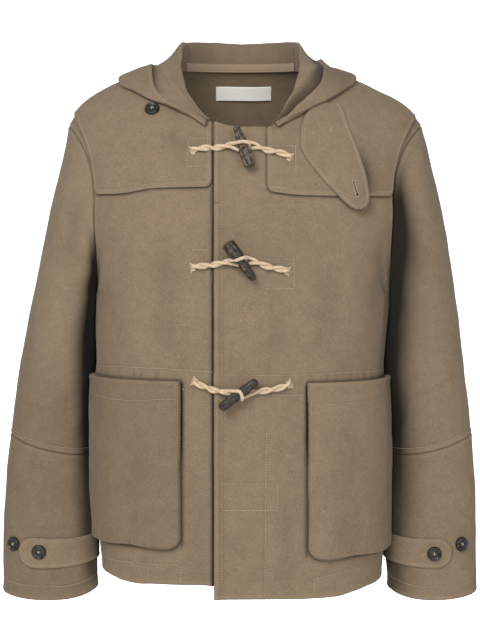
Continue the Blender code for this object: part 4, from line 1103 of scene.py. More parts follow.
class Web:
    """The nodes of one material."""

    def __init__(self, name):
        self.material = bpy.data.materials.new(name)
        self.material.use_nodes = True
        self.tree = self.material.node_tree
        self.shader = self.tree.nodes["Principled BSDF"]

    def node(self, kind, settings, *values, out=0, **named):
        """Adds a node: its settings first, then what goes into its sockets."""
        made = self.tree.nodes.new(kind)
        for name, value in settings.items():
            if name == "stops":
                self._stops(made.color_ramp, value)
            else:
                setattr(made, name, value)
        sockets = list(zip(made.inputs, values))
        sockets += [(made.inputs[name.replace("_", " ")], value) for name, value in named.items()]
        for socket, value in sockets:
            self.feed(socket, value)
        return Signal(self, made.outputs[out])

    def _stops(self, ramp, stops):
        while len(ramp.elements) < len(stops):
            ramp.elements.new(1.0)
        for element, (place, colour) in zip(ramp.elements, stops):
            element.position = place
            element.color = (*colour, 1.0)

    def feed(self, socket, value):
        if isinstance(value, Signal):
            self.tree.links.new(value.socket, socket)
        elif value is not None:
            socket.default_value = value

    def mix(self, share, first, second, blend="MIX"):
        """Mixes two colours."""
        made = self.tree.nodes.new("ShaderNodeMix")
        made.data_type, made.blend_type = "RGBA", blend
        for number, value in ((0, share), (6, first), (7, second)):
            if not isinstance(value, Signal) and number > 0:
                value = (*value, 1.0)
            self.feed(made.inputs[number], value)
        return Signal(self, made.outputs[2])

    def noise(self, where, scale, detail=2.0, rough=0.5):
        return self.node("ShaderNodeTexNoise", {}, Vector=where, Scale=scale, Detail=detail, Roughness=rough)

    def stretch(self, where, size, turn=0.0):
        return self.node("ShaderNodeMapping", {}, Vector=where, Rotation=(0, 0, turn), Scale=size)

    def cut(self):
        """The cloth's own flat coordinates, in metres."""
        return self.node("ShaderNodeUVMap", {"uv_map": "cut"})

    def split(self, vector):
        made = self.tree.nodes.new("ShaderNodeSeparateXYZ")
        self.feed(made.inputs[0], vector)
        return Signal(self, made.outputs[0]), Signal(self, made.outputs[1])

    def place(self):
        return self.node("ShaderNodeTexCoord", {}, out=3)

    def relief(self):
        return self.node("ShaderNodeAttribute", {"attribute_name": "relief"}, out=2)

    # the painted shadow kept at a piece's points
    def shade(self):
        return self.node("ShaderNodeAttribute", {"attribute_name": "shade"}, out=2)

    def bump(self, height, deep, strength=1.0, onto=None):
        return self.node("ShaderNodeBump", {}, Strength=strength, Distance=deep, Height=height, Normal=onto)

    def surface(self, colour, rough, normal=None, **fixed):
        self.feed(self.shader.inputs["Base Color"], colour)
        self.feed(self.shader.inputs["Roughness"], rough)
        self.feed(self.shader.inputs["Normal"], normal)
        for name, value in fixed.items():
            self.shader.inputs[name.replace("_", " ")].default_value = value
        return self.material


def shade(colour, amount):
    """A lighter or darker tone of a colour."""
    return tuple(min(1.0, channel * amount) for channel in colour)


def wool_material():
    """Heavy wool twill: fine steep ribs, flecks of lighter and darker fibre, pressed seams; painted shade in
    seams, grooves and turned edges, a painted highlight on welts, and painted shadows from the shade
    attribute.
    """
    web, colour = Web("wool"), tuple(bpy.context.scene.coat_colours.wool)
    where = web.cut()
    u, v = web.split(where)
    pitch = bpy.context.scene.coat_sizes.twill
    turn = 2 * math.pi / pitch
    wander = web.noise(where, 160.0, 2.0)
    ribs = ((u * 1.25 + v * 0.95) * turn + wander * 2.2).sine() * 0.5 + 0.5
    warp = web.noise(web.stretch(where, (2600, 420, 1)), 1.0, 3.0, 0.6)
    weft = web.noise(web.stretch(where, (380, 2300, 1)), 1.0, 3.0, 0.6)
    fibre = (warp + weft) * 0.5
    cloud = web.noise(web.place(), 11.0, 3.0, 0.55)
    fleck = web.noise(where, 1150.0, 1.0, 0.4)
    patch = web.noise(web.place(), 75.0, 2.0, 0.6)
    slub = web.noise(web.stretch(where, (170, 620, 1)), 1.0, 2.0, 0.6)
    slub = slub + web.noise(web.stretch(where, (640, 190, 1)), 1.0, 2.0, 0.6)
    tone = (
        (fibre - 0.5) * 1.5 + (slub * 0.5 - 0.5) * 1.25 + (patch - 0.5) * 0.5 + (cloud - 0.5) * 0.5
        + (ribs - 0.5) * 0.16 + 0.5
    ).clamp()
    base = web.mix(tone, shade(colour, 0.68), shade(colour, 1.32))
    light = ((fleck - 0.60) * 6.0).clamp()
    base = web.mix(light * 0.35, base, shade(colour, 1.75))
    dark = ((0.40 - fleck) * 6.0).clamp()
    base = web.mix(dark * 0.30, base, shade(colour, 0.55))
    nep = web.noise(where, 330.0, 1.0, 0.5)
    base = web.mix(((nep - 0.66) * 9.0).clamp() * 0.5, base, shade(colour, 1.8))
    relief = web.relief()
    # painted shade where the sewing draws the cloth in, then a painted highlight on the welts
    base = web.mix((relief * -0.80).clamp() * 0.62, base, shade(colour, 0.45))
    base = web.mix((relief * 1.3).clamp() * 0.36, base, shade(colour, 1.34))
    # painted shadows from the shade attribute darken the colour
    base = web.mix(web.shade(), base, shade(colour, 0.03))
    weave = web.bump(ribs * 0.45 + fibre * 1.1 + fleck * 0.6, 0.00035, 0.55)
    soft = web.bump(web.noise(web.place(), 55.0, 3.0, 0.6), 0.0016, 0.28, weave)
    return web.surface(base, 0.93, soft, Sheen_Weight=0.045, Sheen_Roughness=0.5, Specular_IOR_Level=0.13)


def jute_material():
    """Cord of pale jute: fine fibres along each strand."""
    web, colour = Web("jute"), tuple(bpy.context.scene.coat_colours.jute)
    where = web.cut()
    u, v = web.split(where)
    lay = ((u * 1.0 + v * 0.55) * (2 * math.pi / 0.0017)).sine() * 0.5 + 0.5
    fibre = web.noise(web.stretch(where, (900, 5200, 1), 0.5), 1.0, 3.0, 0.65)
    patch = web.noise(web.place(), 180.0, 2.0)
    tone = ((fibre - 0.5) * 1.6 + (patch - 0.5) * 0.9 + (lay - 0.5) * 0.35 + 0.5).clamp()
    base = web.mix(tone, shade(colour, 0.60), shade(colour, 1.18))
    normal = web.bump(lay * 0.8 + fibre, 0.0004, 0.8)
    return web.surface(base, 0.86, normal, Sheen_Weight=0.2, Specular_IOR_Level=0.3)


def thread_material():
    """Sewing thread, a little lighter than the cloth."""
    web, colour = Web("thread"), tuple(bpy.context.scene.coat_colours.thread)
    patch = web.noise(web.place(), 420.0, 2.0)
    twist = web.noise(web.place(), 2600.0, 1.0)
    base = web.mix(((patch - 0.5) * 1.8 + 0.5).clamp(), shade(colour, 0.72), shade(colour, 1.2))
    return web.surface(base, 0.7, web.bump(twist, 0.0002, 0.6), Sheen_Weight=0.1)


def toggle_material():
    """Rough horn for toggles: dark, with paler worn ridges along the grain."""
    web, colour = Web("toggle_horn"), tuple(bpy.context.scene.coat_colours.toggle)
    where = web.cut()
    grain = web.noise(web.stretch(where, (1500, 120, 1)), 1.0, 4.0, 0.65)
    pits = web.noise(web.place(), 700.0, 3.0, 0.6)
    bark = web.noise(web.place(), 190.0, 3.0, 0.7)
    relief = web.relief()
    tone = ((grain - 0.5) * 1.6 + (bark - 0.5) * 1.3 + relief * 0.9 + 0.26).clamp()
    stops = ((0.0, 0.2), (0.36, 0.8), (0.68, 2.6), (1.0, 5.0))
    stops = [(place, shade(colour, amount)) for place, amount in stops]
    base = web.node("ShaderNodeValToRGB", {"stops": stops}, tone)
    rough = 0.52 - (grain - 0.5) * 0.5
    normal = web.bump(grain * 0.7 + pits * 0.5 + bark, 0.0009, 0.75)
    return web.surface(base, rough, normal, Coat_Weight=0.05, Coat_Roughness=0.3, Specular_IOR_Level=0.22)


def button_material():
    """Polished dark horn with faint cloudy streaks."""
    web, colour = Web("button_horn"), tuple(bpy.context.scene.coat_colours.button)
    streak = web.noise(web.stretch(web.place(), (140, 420, 90)), 1.0, 3.0, 0.6)
    cloud = web.noise(web.place(), 160.0, 2.0)
    tone = ((streak - 0.48) * 2.6 + (cloud - 0.5)).clamp()
    base = web.mix(tone, shade(colour, 0.55), shade(colour, 5.0))
    rough = 0.30 + (streak - 0.5) * 0.25
    return web.surface(base, rough, web.bump(streak, 0.0003, 0.3), Coat_Weight=0.12, Coat_Roughness=0.12,
                       Specular_IOR_Level=0.3)


def tape_material():
    """Herringbone tape."""
    web, colour = Web("tape"), tuple(bpy.context.scene.coat_colours.tape)
    where = web.cut()
    u, v = web.split(where)
    column = (u / 0.0038).fraction()
    slant = (column - 0.5).size()
    bone = ((slant * 0.0052 + v) * (2 * math.pi / 0.0011)).sine() * 0.5 + 0.5
    fibre = web.noise(where, 1500.0, 2.0)
    spine = ((slant - 0.44) * 14.0).clamp() + ((0.05 - slant) * 14.0).clamp()
    tone = ((bone - 0.5) * 0.9 + (fibre - 0.5) * 0.9 - spine * 0.3 + 0.5).clamp()
    base = web.mix(tone, shade(colour, 0.72), shade(colour, 1.22))
    return web.surface(base, 0.8, web.bump(bone + fibre * 0.6, 0.0003, 0.7), Sheen_Weight=0.15)


def label_material():
    """Woven satin label, blank."""
    web, colour = Web("label"), tuple(bpy.context.scene.coat_colours.label)
    where = web.cut()
    u, v = web.split(where)
    weft = (v * (2 * math.pi / 0.0006)).sine() * 0.5 + 0.5
    yarn = web.noise(web.stretch(where, (300, 2800, 1)), 1.0, 2.0)
    tone = ((weft - 0.5) * 0.35 + (yarn - 0.5) * 0.9 + 0.5).clamp()
    base = web.mix(tone, shade(colour, 0.86), shade(colour, 1.08))
    return web.surface(base, 0.55, web.bump(weft * 0.6 + yarn, 0.0002, 0.5), Sheen_Weight=0.1)


def floor_material():
    """Pale matt paper, with the faintest unevenness."""
    web = Web("floor_paper")
    grain = web.noise(web.place(), 3.0, 2.0)
    base = web.mix(grain, (0.93, 0.93, 0.93), (0.96, 0.96, 0.96))
    return web.surface(base, 0.9)


MAKERS = {
    "wool": wool_material,
    "jute": jute_material,
    "thread": thread_material,
    "toggle_horn": toggle_material,
    "button_horn": button_material,
    "tape": tape_material,
    "label": label_material,
    "floor": floor_material,
}


def material(name):
    """A material by its name, made when it is first asked for."""
    made = bpy.data.materials.get("coat_" + name)
    if made is None:
        made = MAKERS[name]()
        made.name = "coat_" + name
    return made


# --- cut pieces ---


# painted shade in creases, for each millimetre of their depth
CREASE_SHADE = 0.052  # how much darker a crease is for each millimetre of its depth


def add_creases(cloth, table, face, side=None):
    """Lays the soft folds of a table on a piece."""
    x, z = cloth.points[..., 0] * 1000, cloth.points[..., 2] * 1000
    for row in table.rows():
        if row["face"] != face or (side is not None and row["side"] != side):
            continue
        way = np.array([row["x1"] - row["x0"], row["z1"] - row["z0"]])
        long = np.linalg.norm(way)
        way = way / long
        along = ((x - row["x0"]) * way[0] + (z - row["z0"]) * way[1]) / long
        sway = 3.0 * np.sin(along * 3.1 + row["x0"])
        aside = -(x - row["x0"]) * way[1] + (z - row["z0"]) * way[0] + sway
        wide = row["width"] * (0.85 + 0.3 * along)
        taper = ease(along, -0.12, 0.3) * (1 - ease(along, 0.7, 1.12))
        depth = row["depth"] * bell(aside, wide) * taper
        cloth.extra += depth / 1000
        # painted shade in the crease
        cloth.darken(CREASE_SHADE * -depth)


def waist_puckers(cloth, face):
    """Small upright puckers where the waist channel draws the cloth in."""
    x, z = cloth.points[..., 0], cloth.points[..., 2]
    middle, half = -0.396, 0.013
    inside = 1 - ease(np.abs(z - middle), 0.3 * half, 1.5 * half)
    turn = x * 2 * math.pi
    wave = np.sin(turn / 0.0105 + 2.0 * np.sin(x * 37)) + 0.6 * np.sin(turn / 0.0173 + 1.3)
    strong = 0.35 + 0.65 * hill(x, -0.135, 0.075) + 0.25 * hill(x, 0.14, 0.06)
    if face > 0:
        strong = 0.75 + 0 * x
    cloth.extra += 0.00080 * wave * strong * inside
    # painted shade in the puckers' hollows
    cloth.darken(0.16 * np.clip(-wave, 0, 1.5) * strong * inside)
    cloth.extra += 0.0019 * bell(z - middle, half)


def ripple(cloth, amount=1.0, seed=0.0):
    """The slight unevenness of thick cloth, everywhere."""
    x, y, z = (cloth.points[..., k] for k in range(3))
    wave = np.sin(41 * x + 23 * z + seed) * np.sin(29 * z - 17 * x + 19 * y + 2.1 * seed)
    wave = wave + 0.6 * np.sin(83 * x - 31 * z + 11 * y + seed * 1.7) * np.sin(67 * z + 12 * x + seed)
    wave = wave + 0.3 * np.sin(171 * x + 57 * z + 3.0 * seed) * np.sin(139 * z - 77 * x + 31 * y)
    cloth.extra += 0.00045 * amount * wave


def body_rows(cell):
    """Heights of a body panel's rows, close together at the hem and at the waist channel."""
    low = places(CHEST - HEM, cell, EDGE_STEPS, None, [HEM_DEPTH, 0.269, 0.276, 0.2985, 0.304])
    band = np.arange(0.2625, 0.312, 0.0022)
    low = np.unique(np.round(np.concatenate([low[(low < 0.2615) | (low > 0.3125)], band]), 5))
    high = np.concatenate([np.linspace(1, 2, int(0.24 / cell))[1:-2], [1.985, 1.993, 2.0]])
    return np.concatenate([low / (CHEST - HEM), high])


def panel(name, face, start, end, lapped, cell, first_steps, last_steps):
    """The grid of a body panel between two values of t."""
    fine = np.linspace(start, end, 800)
    run, x = girth(face, fine, PANEL_CUT)
    lines = [float(np.interp(line, x, run)) for line in LINES_DOWN.get(name, ())]
    t = np.interp(places(run[-1], cell, first_steps, last_steps, lines), run, fine)
    v = body_rows(cell)[:, None]
    if lapped:
        height = HEM + (CHEST - HEM) * np.minimum(v, 1)
        plumb = t_of(-1, LAP_EDGE + 0 * height, height) - start
        t = t[None] + plumb * (1 - ease(np.interp(t, fine, x), LAP_EDGE + 0.012, 0.055))
    points = soften(torso(face, t + 0 * v, v, lapped=lapped))
    rise = HEM_RISE.at(name, points[0, :, 0])
    points[..., 2] += rise * (1 - ease(points[..., 2], HEM, HEM + 0.12))
    return Cloth(points, (0, face, 0))


def box_stitches(cloth, low, high):
    """A stitched rectangle, from (x, z) to (x, z) in millimetres."""
    (x0, z0), (x1, z1) = low, high
    for side in (((x0, z0), (x1, z0)), ((x1, z0), (x1, z1)), ((x1, z1), (x0, z1))):
        cloth.across(side)


def patch_edges(side):
    """The edges of the shoulder patch and the pocket that lie on a front, round which the front gets a
    painted shadow.
    """
    yoke = torso(-1, *yoke_cloth(-1, side, 0.006), lapped=side > 0)
    pocket = torso(-1, *pocket_cloth(side, 0.006)[:2])
    return [yoke[0], yoke[:, 0], yoke[:, -1], pocket[0], pocket[:, 0]]


def make_body():
    cell = bpy.context.scene.coat_sizes.cell
    edge = {1: float(t_of(-1, LAP_EDGE, PANEL_CUT)), -1: float(t_of(-1, UNDER_EDGE, PANEL_CUT))}
    left = panel("front_left", -1, edge[1], 1.0, True, cell, EDGE_STEPS, SEAM_STEPS)
    left.fold("left", "first")
    left.seam("right")
    left.topstitch(0.0105, "left")
    for line in (WAIST_UPPER[1], WAIST_LOWER[1], FACING_LOW):
        left.across(line)
    left.across(FACING_HIGH, sewn=False)
    left.across(((98, -659), (119, -656), (143, -652.5), (168, -650), (190, -649)))
    left.across(((97.5, -659), (97.5, -688)))
    box_stitches(left, (-27, -530.5), (49, -566))
    box_stitches(left, (34, -234), (70.4, -273))
    add_creases(left, CREASES, -1)
    x, z = left.points[..., 0], left.points[..., 2]
    left.extra += 0.0017 * bell(x - LAP_EDGE - 0.0042, 0.0042) * ease(-z, 0.06, 0.10)
    waist_puckers(left, -1)
    ripple(left, 1.0, 0.4)
    right = panel("front_right", -1, -1.0, edge[-1], False, cell, SEAM_STEPS, EDGE_STEPS)
    right.fold("right", "first")
    right.seam("left")
    for line in (WAIST_UPPER[-1], WAIST_LOWER[-1]):
        right.across(line)
    right.across(((-189, -643), (-142, -640.6), (-106, -641), (-80, -640)))
    right.across(((-80, -641), (-80, -668)))
    right.across(((-64, -222), (-39, -222)))
    add_creases(right, CREASES, -1)
    waist_puckers(right, -1)
    ripple(right, 1.0, 2.2)
    back = panel("back", 1, -1.0, 1.0, False, cell * 1.15, SEAM_STEPS, SEAM_STEPS)
    back.fold("first")
    back.seam("left", "right")
    for height in (-383, -409):
        back.across(((-190, height), (190, height)), 1)
    back.across(((-186, -655), (186, -655)), 1)
    add_creases(back, CREASES, 1)
    waist_puckers(back, 1)
    ripple(back, 1.3, 4.0)
    sleeves = [sleeve_form(1), sleeve_form(-1)]
    for name, cloth in (("front_left", left), ("front_right", right), ("back", back)):
        x, z = cloth.points[..., 0], cloth.points[..., 2]
        # painted shadow on the body beside the sleeves
        cloth.darken(0.9 * bell(distance(cloth.points, sleeves, 0.03), 0.0050) * ease(-z, 0.20, 0.26))
        if name == "front_right":
            # painted shadow under the left front's lapped edge
            cloth.darken(0.96 * bell(x - LAP_EDGE + 0.0012, 0.0027) * ease(-z, 0.06, 0.10))
        if name != "back":
            side = 1 if name == "front_left" else -1
            inner, top, bottom = (POCKET[side][key] for key in ("inner", "top", "bottom"))
            along = ease(z, bottom - 0.004, bottom + 0.01) * (1 - ease(z, top - 0.004, top))
            along = along * (1 - 0.35 * ease(-z, 0.47, 0.52))
            # painted shadow in the slit beside the pocket's inner edge
            cloth.darken(0.98 * along * bell(x - side * (inner - 0.0010), 0.0030))
            mouth = ease(side * x, inner - 0.001, inner + 0.001)
            # painted shadow in the pocket's open mouth
            cloth.darken(0.60 * bell(z - top - 0.0002, 0.0018) * mouth)
            # painted shadow round the edges of the shoulder patch and the pocket
            cloth.darken(0.58 * bell(near(cloth.points, patch_edges(side)), 0.0026))
        make_wool(name, cloth, CLOTH, ["back"] if name != "back" else [])


def yoke_cloth(face, side, cell):
    """The grid of half a shoulder patch, from its bottom edge up to the neck and shoulder seam."""
    start = abs(float(t_of(face, side * YOKE_IN[side], -0.16))) if face < 0 else 0.0
    fine = np.linspace(start, YOKE_OUT[0], 500)
    run, _ = girth(face, side * fine, CHEST)
    steps = places(run[-1], cell, EDGE_STEPS if face < 0 else None, EDGE_STEPS)
    t = np.interp(steps, run, fine)
    rest = (YOKE_OUT[0] - YOKE_OUT[1]) * ease(t, YOKE_OUT[0] - 0.12, YOKE_OUT[0])
    x = np.abs(body(face, side * t, 1.0)[:, 0])
    heights = YOKE_EDGE[side].at("height", x) if face < 0 else YOKE_BACK + 0 * x
    for gone in (run[-1] - steps,) if face > 0 else (steps, run[-1] - steps):
        short = np.clip(1 - gone / YOKE_CORNER, 0, 1)
        heights = heights + YOKE_CORNER * (1 - np.sqrt(1 - short**2))
    low = halve(lambda v: body(face, side * t, v)[..., 2] - heights, 0 * x + 0.5, 0 * x + 2.0)
    long = 0.16
    up = places(long, cell, EDGE_STEPS, None)[:, None] / long
    v = low + (2 - low) * up
    return side * (t - rest * up), v


def laid_yoke(face, t, v, lapped=False):
    """A shoulder patch over the body, with its edges, their stitches and the folds under it."""
    over = 0.0006 + (YOKE_STEP - 0.0010) * (1 - ease(v, 1.86, 1.99))
    cloth = Cloth(soften(torso(face, t, v, over, lapped=lapped)), (0, face, 0))
    cloth.fold("left", "first", "right")
    for inset in (0.0014, TOPSTITCH):
        cloth.topstitch(inset, "left", "first", "right")
    add_creases(cloth, CREASES, face)
    return cloth


def make_yokes():
    cell = bpy.context.scene.coat_sizes.cell * 0.9
    for side, hand in ((1, "left"), (-1, "right")):
        cloth = laid_yoke(-1, *yoke_cloth(-1, side, cell), lapped=side > 0)
        if side > 0:
            box_stitches(cloth, (38, -85), (72.8, -121))
            cloth.across(((38, -139.3), (71.7, -139.4)))
        else:
            box_stitches(cloth, (-37, -75.7), (-70.7, -111.9))
        if side > 0:
            x, z = cloth.points[..., 0], cloth.points[..., 2]
            # painted shadow on the yoke right of the throat tab
            cloth.darken(0.55 * bell(x - 0.170 - 0.30 * (-0.13 - z), 0.011) * hill(z, -0.120, 0.052))
        ripple(cloth, 0.9, 1.0 + side)
        make_wool("yoke_" + hand, cloth, PATCH - 0.0002, ["cloth_front_" + hand])
    halves = [yoke_cloth(1, side, cell) for side in (-1, 1)]
    t, v = (np.concatenate([halves[0][k][:, :0:-1], halves[1][k]], axis=1) for k in (0, 1))
    cloth = laid_yoke(1, t, v)
    ripple(cloth, 1.0, 3.0)
    make_wool("yoke_back", cloth, PATCH - 0.0002, ["cloth_back"])


# By side: how far a sleeve swells towards the body, then the shadow painted on it beside the body: the depths
# between which it starts, how far it reaches, how full it is and how deep it may get.
SLEEVE_SHADE = {
    1: (0.0048, 0.085, 0.160, 0.0340, 1.4, 0.96),
    -1: (0.0026, 0.185, 0.245, 0.0235, 1.8, 1.0),
}


def make_sleeves():
    cell = bpy.context.scene.coat_sizes.cell
    turns = np.linspace(0, 2 * math.pi, 112, endpoint=False)
    body_forms = [COAT[name].tree for name in ("front_left", "front_right", "back")]
    for side, hand in ((1, "left"), (-1, "right")):
        line = np.linspace(0, CUFF, 700)
        opposite = [sleeve(side, angle * math.pi + 0 * line, line) for angle in (0.4, 1.4)]
        run = run_of((opposite[0] + opposite[1]) / 2)
        elbow = float(np.interp(ELBOW, line, run))
        for part, low, high, first, last, lines in (
            ("upper", 0.0, elbow, SEAM_STEPS, SEAM_STEPS, (elbow - 0.0085,)),
            ("lower", elbow, run[-1], SEAM_STEPS, EDGE_STEPS, (run[-1] - elbow - CUFF_HEM,)),
        ):
            rings = np.interp(low + places(high - low, cell, first, last, lines), run, line)
            grid = sleeve(side, turns[None], rings[:, None])
            inner = ease(-side * grid[..., 0], -0.32, -0.21)
            grid[..., 2] -= (0.0040 + 0.0045 * inner) * ease(-grid[..., 2], 0.655, 0.700)
            join = grid[0]
            if part == "upper":
                grid = np.concatenate([armhole(side, turns, 0.984, -0.0032)[None], grid])
            cloth = Cloth(grid, (0, 0, 0), closed=True)
            middle = cloth.points[len(rings) // 2]
            if np.dot(cloth.normals[len(rings) // 2, 56], middle[56] - middle.mean(axis=0)) < 0:
                cloth.normals = -cloth.normals
            cloth.seams.append(closed_up(join))
            end, inset = (cloth.seams, 0.0085) if part == "upper" else (cloth.edges, CUFF_HEM)
            end.append(closed_up(cloth.border("last")))
            cloth.stitches.append(closed_up(cloth.border("last", inset)))
            for face in (-1, 1):
                own = Cloth.__new__(Cloth)
                own.points, own.extra, own.shade = cloth.points, 0 * cloth.extra, 0 * cloth.extra
                add_creases(own, SLEEVE_CREASES, face, side)
                depth = ease(face * (cloth.points[..., 1] - 0.006), -0.006, 0.020)
                cloth.extra += own.extra * depth
                # painted shade in the sleeve's creases
                cloth.darken(own.shade * depth)
            ripple(cloth, 1.3, 5.0 + side)
            z = cloth.points[..., 2]
            inward = np.clip(-side * cloth.normals[..., 0], 0, 1)
            bulge, low, high, reach, full, most = SLEEVE_SHADE[side]
            cloth.extra += bulge * ease(inward, 0.6, 0.98) * hill(z, -0.350, 0.11)
            reach = reach * (0.30 + 0.70 * ease(-z, low, low + 0.16))
            # painted shadow on the sleeve where it lies near the body
            deep = np.clip(full * bell(distance(cloth.points, body_forms, 0.10), reach), 0, most)
            cloth.darken(deep * ease(-z, low, high) * (1 - 0.30 * ease(-z, 0.46, 0.60)))
            # painted shade on the right sleeve's lower and outer part, where less light falls
            if side < 0:
                outer = ease(-side * grid[..., 0], -0.33, -0.24)
                cloth.darken(0.17 * np.maximum(ease(-z, 0.34, 0.46), (1 - outer) * ease(-z, 0.20, 0.30)))
            make_wool("sleeve_%s_%s" % (part, hand), cloth, CLOTH, ["cloth_back"])


def pocket_cloth(side, cell):
    """The grid of a patch pocket from its bottom to its mouth."""
    size = POCKET[side]
    t_in, t_out = float(t_of(-1, side * size["inner"], PANEL_CUT)), side * POCKET_OUT
    fine = np.linspace(t_in, t_out, 400)
    run, _ = girth(-1, fine, PANEL_CUT)
    stitched = np.array([0, 6, 13, 21, 30, 42, 55, 68, 78, 85, 92, 102, 120]) / 10000
    steps = places(run[-1], cell, stitched, stitched)
    tall = size["top"] - size["bottom"]
    up = places(tall, cell, stitched, EDGE_STEPS, [tall - (0.0290 if side > 0 else 0.0265)])
    deep = np.minimum(steps, run[-1] - steps)
    across, upward = (ease(far, -POCKET_WALL, POCKET_WALL) for far in (deep, up))
    lift = np.minimum(across[None], upward[:, None])
    low_lift = 0.0004 + PATCH
    lift = low_lift + (POCKET_LIFT - low_lift) * (2 * lift - 1)
    inner = np.clip(1 - steps / POCKET_CORNER, 0, 1)
    low = np.clip(1 - up / 0.06, 0, 1)
    z = size["bottom"] + up[:, None] + POCKET_CORNER * (1 - np.sqrt(1 - inner**2))[None] * low[:, None] ** 2
    t = np.interp(steps, run, fine)[None] + 0 * z
    return t, (z - HEM) / (CHEST - HEM), lift


# The stitch line that holds each pocket's turned-in mouth, as (x, z) in millimetres.
POCKET_HEM = {
    1: ((89.5, -426.5), (140, -426), (194, -424.5)),
    -1: ((-197, -421), (-173, -421.8), (-141, -422.6), (-105, -418.5), (-79.5, -419.5)),
}


def make_pockets():
    cell = bpy.context.scene.coat_sizes.cell * 0.9
    for side, hand in ((1, "left"), (-1, "right")):
        t, v, lift = pocket_cloth(side, cell)
        cloth = Cloth(torso(-1, t, v, lift), (0, -1, 0))
        cloth.fold("left", "first", "last")
        cloth.seam("right")
        cloth.topstitch(0.0085, "left", "first")
        cloth.across(POCKET_HEM[side])
        ripple(cloth, 1.6, 7.0 + side)
        x, z = cloth.points[..., 0], cloth.points[..., 2]
        trough = bell(x - side * 0.150, 0.020) * ease(-z, 0.41, 0.50)
        cloth.extra += 0.0016 * bell(x - side * 0.118, 0.018) * ease(-z, 0.40, 0.46) - 0.0022 * trough
        # painted shade in the trough, and over the whole right pocket
        cloth.darken(np.maximum(0.10 * trough, 0.17 if side < 0 else 0.0))
        make_wool("pocket_" + hand, cloth, PATCH, ["cloth_front_" + hand])


# How the hood runs out at the front, by side: how much its height is pressed flat and how much
# narrower its rim is, each fading out between two angles round the neck.
HOOD_FRONT = {
    -1: {"flat": 0.86, "flat_to": (24, 47), "cut": 0.0062, "cut_to": (46, 74)},
    1: {"flat": 0.82, "flat_to": (24, 42), "cut": 0.0052, "cut_to": (28, 46)},
}


# How the hood's cloth lies off its plain form, by the angle round the neck: its crest is higher,
# its outer folds are lower and nearer.
HOOD_SET = Table("""
angle crest low near
23 0.0 0.0 0.0
55 0.0 0.0 0.0
75 0.0020 0.0036 0.0030
92 0.0045 0.0042 0.0045
105 0.0068 0.0040 0.0040
116 0.0060 0.0020 0.0015
128 0.0035 0.0 0.0
180 0.0028 0.0 0.0
""")


def hood_cloth(turns, rows, fine_rows, fine_columns):
    """The grid of a hood piece, worked out coarsely and then read finely."""
    knots = np.linspace(0, 5, rows)
    points = hood(turns[None], knots[:, None])
    even = np.empty_like(points)
    for column, turn in enumerate(turns):
        line, side = points[:, column], -1 if turn < 0 else 1
        line[:, 2] -= 0.0058 * (1 - ease(knots, 0, 0.35))
        rise, low, close = (float(HOOD_SET.at(key, abs(turn))) for key in HOOD_SET.names[1:])
        outer = ease(knots, 2.2, 3.1)
        line[:, 2] += rise * bell(knots - 1, 0.55) * ease(knots, 0, 0.5) - low * outer
        size = np.hypot(line[:, 0], line[:, 1])
        line[:, :2] *= (1 - close * outer / size)[:, None]
        edge = neck_edge(side, np.array([abs(turn)]))[0, 2] + 0.0012
        end = HOOD_FRONT[side]
        flat = end["flat"] * (1 - ease(abs(turn), *end["flat_to"]))
        line[:, 2] -= flat * np.maximum(line[:, 2] - edge, 0)
        cut = end["cut"] * (1 - ease(abs(turn), *end["cut_to"]))
        run = run_of(line)
        at = np.linspace(0, run[-1] - cut, rows)
        even[:, column] = np.stack([np.interp(at, run, line[:, k]) for k in range(3)], axis=-1)
    for _ in range(2):
        even[1:-1] = 0.5 * even[1:-1] + 0.25 * (even[2:] + even[:-2])
    down = read_rows(even, fine_rows)
    return read_rows(down.transpose(1, 0, 2), fine_columns).transpose(1, 0, 2)


def make_hood():
    rows = 64
    side_turns = np.linspace(23, HOOD_SEAM, 42)
    middle = np.linspace(HOOD_SEAM - 180, 180 - HOOD_SEAM, 40)
    middle = np.where(middle < 0, -180 - middle, 180 - middle)
    last = rows - 1
    rim = last - np.array([1.3, 1.0, 0.75, 0.5, 0.3, 0.18, 0.08, 0.0])
    fine_rows = np.concatenate([[0.0, 0.10, 0.25, 0.45, 0.7], np.arange(1, last - 1.4, 0.5), rim])
    ends = np.array([0.0, 0.12, 0.3, 0.55])
    for name, turns, outward in (
        ("hood_right", -side_turns[::-1], (-1, 0, 1)),
        ("hood_left", side_turns, (1, 0, 1)),
        ("hood_middle", middle, (0, 1, 1)),
    ):
        count = len(turns) - 1
        fine_columns = np.concatenate([ends, np.arange(0.9, count - 0.8, 0.45), count - ends[::-1]])
        grid = hood_cloth(turns, rows, fine_rows, fine_columns)
        cloth = Cloth(grid, outward)
        cloth.fold("last")
        cloth.grooves.append(cloth.border("last", TOPSTITCH))
        under = (fine_rows < 0.60 * last)[:, None] * ease(fine_rows, 0.22 * last, 0.30 * last)[:, None]
        wide = 0.0170 if name == "hood_left" else 0.0065
        # painted shadow in the valley under the rim
        cloth.shade = 0.88 * bell(near(grid, [cloth.border("last")], 0.03), wide) * under
        if name == "hood_middle":
            # painted shade on the middle piece's stand
            cloth.darken(0.16 * (fine_rows < 0.24 * last)[:, None])
            cloth.seam("left", "right")
        elif name == "hood_left":
            around = np.interp(fine_columns, np.arange(count + 1), turns)
            band = ease(fine_rows, 0.66 * last, 0.76 * last)[:, None] * bell(around - 80, 20)[None]
            # painted shade on the left band
            cloth.darken(0.34 * band)
            cloth.across(((136.5, 8), (138, -18)), sewn=False)
            cloth.across(((65, -28), (106, -28)), sewn=False)
            cloth.seam("right")
            cloth.fold("left")
        else:
            cloth.across(((-93, -28), (-64, -28)), sewn=False)
            cloth.seam("left")
            cloth.fold("right")
        ripple(cloth, 1.2, 9.0 + len(name))
        make_wool(name, cloth, HOOD_CLOTH, ["cloth_back"], middle=True)
        sew("stitches_%s_inside" % name, cloth, inside=True)


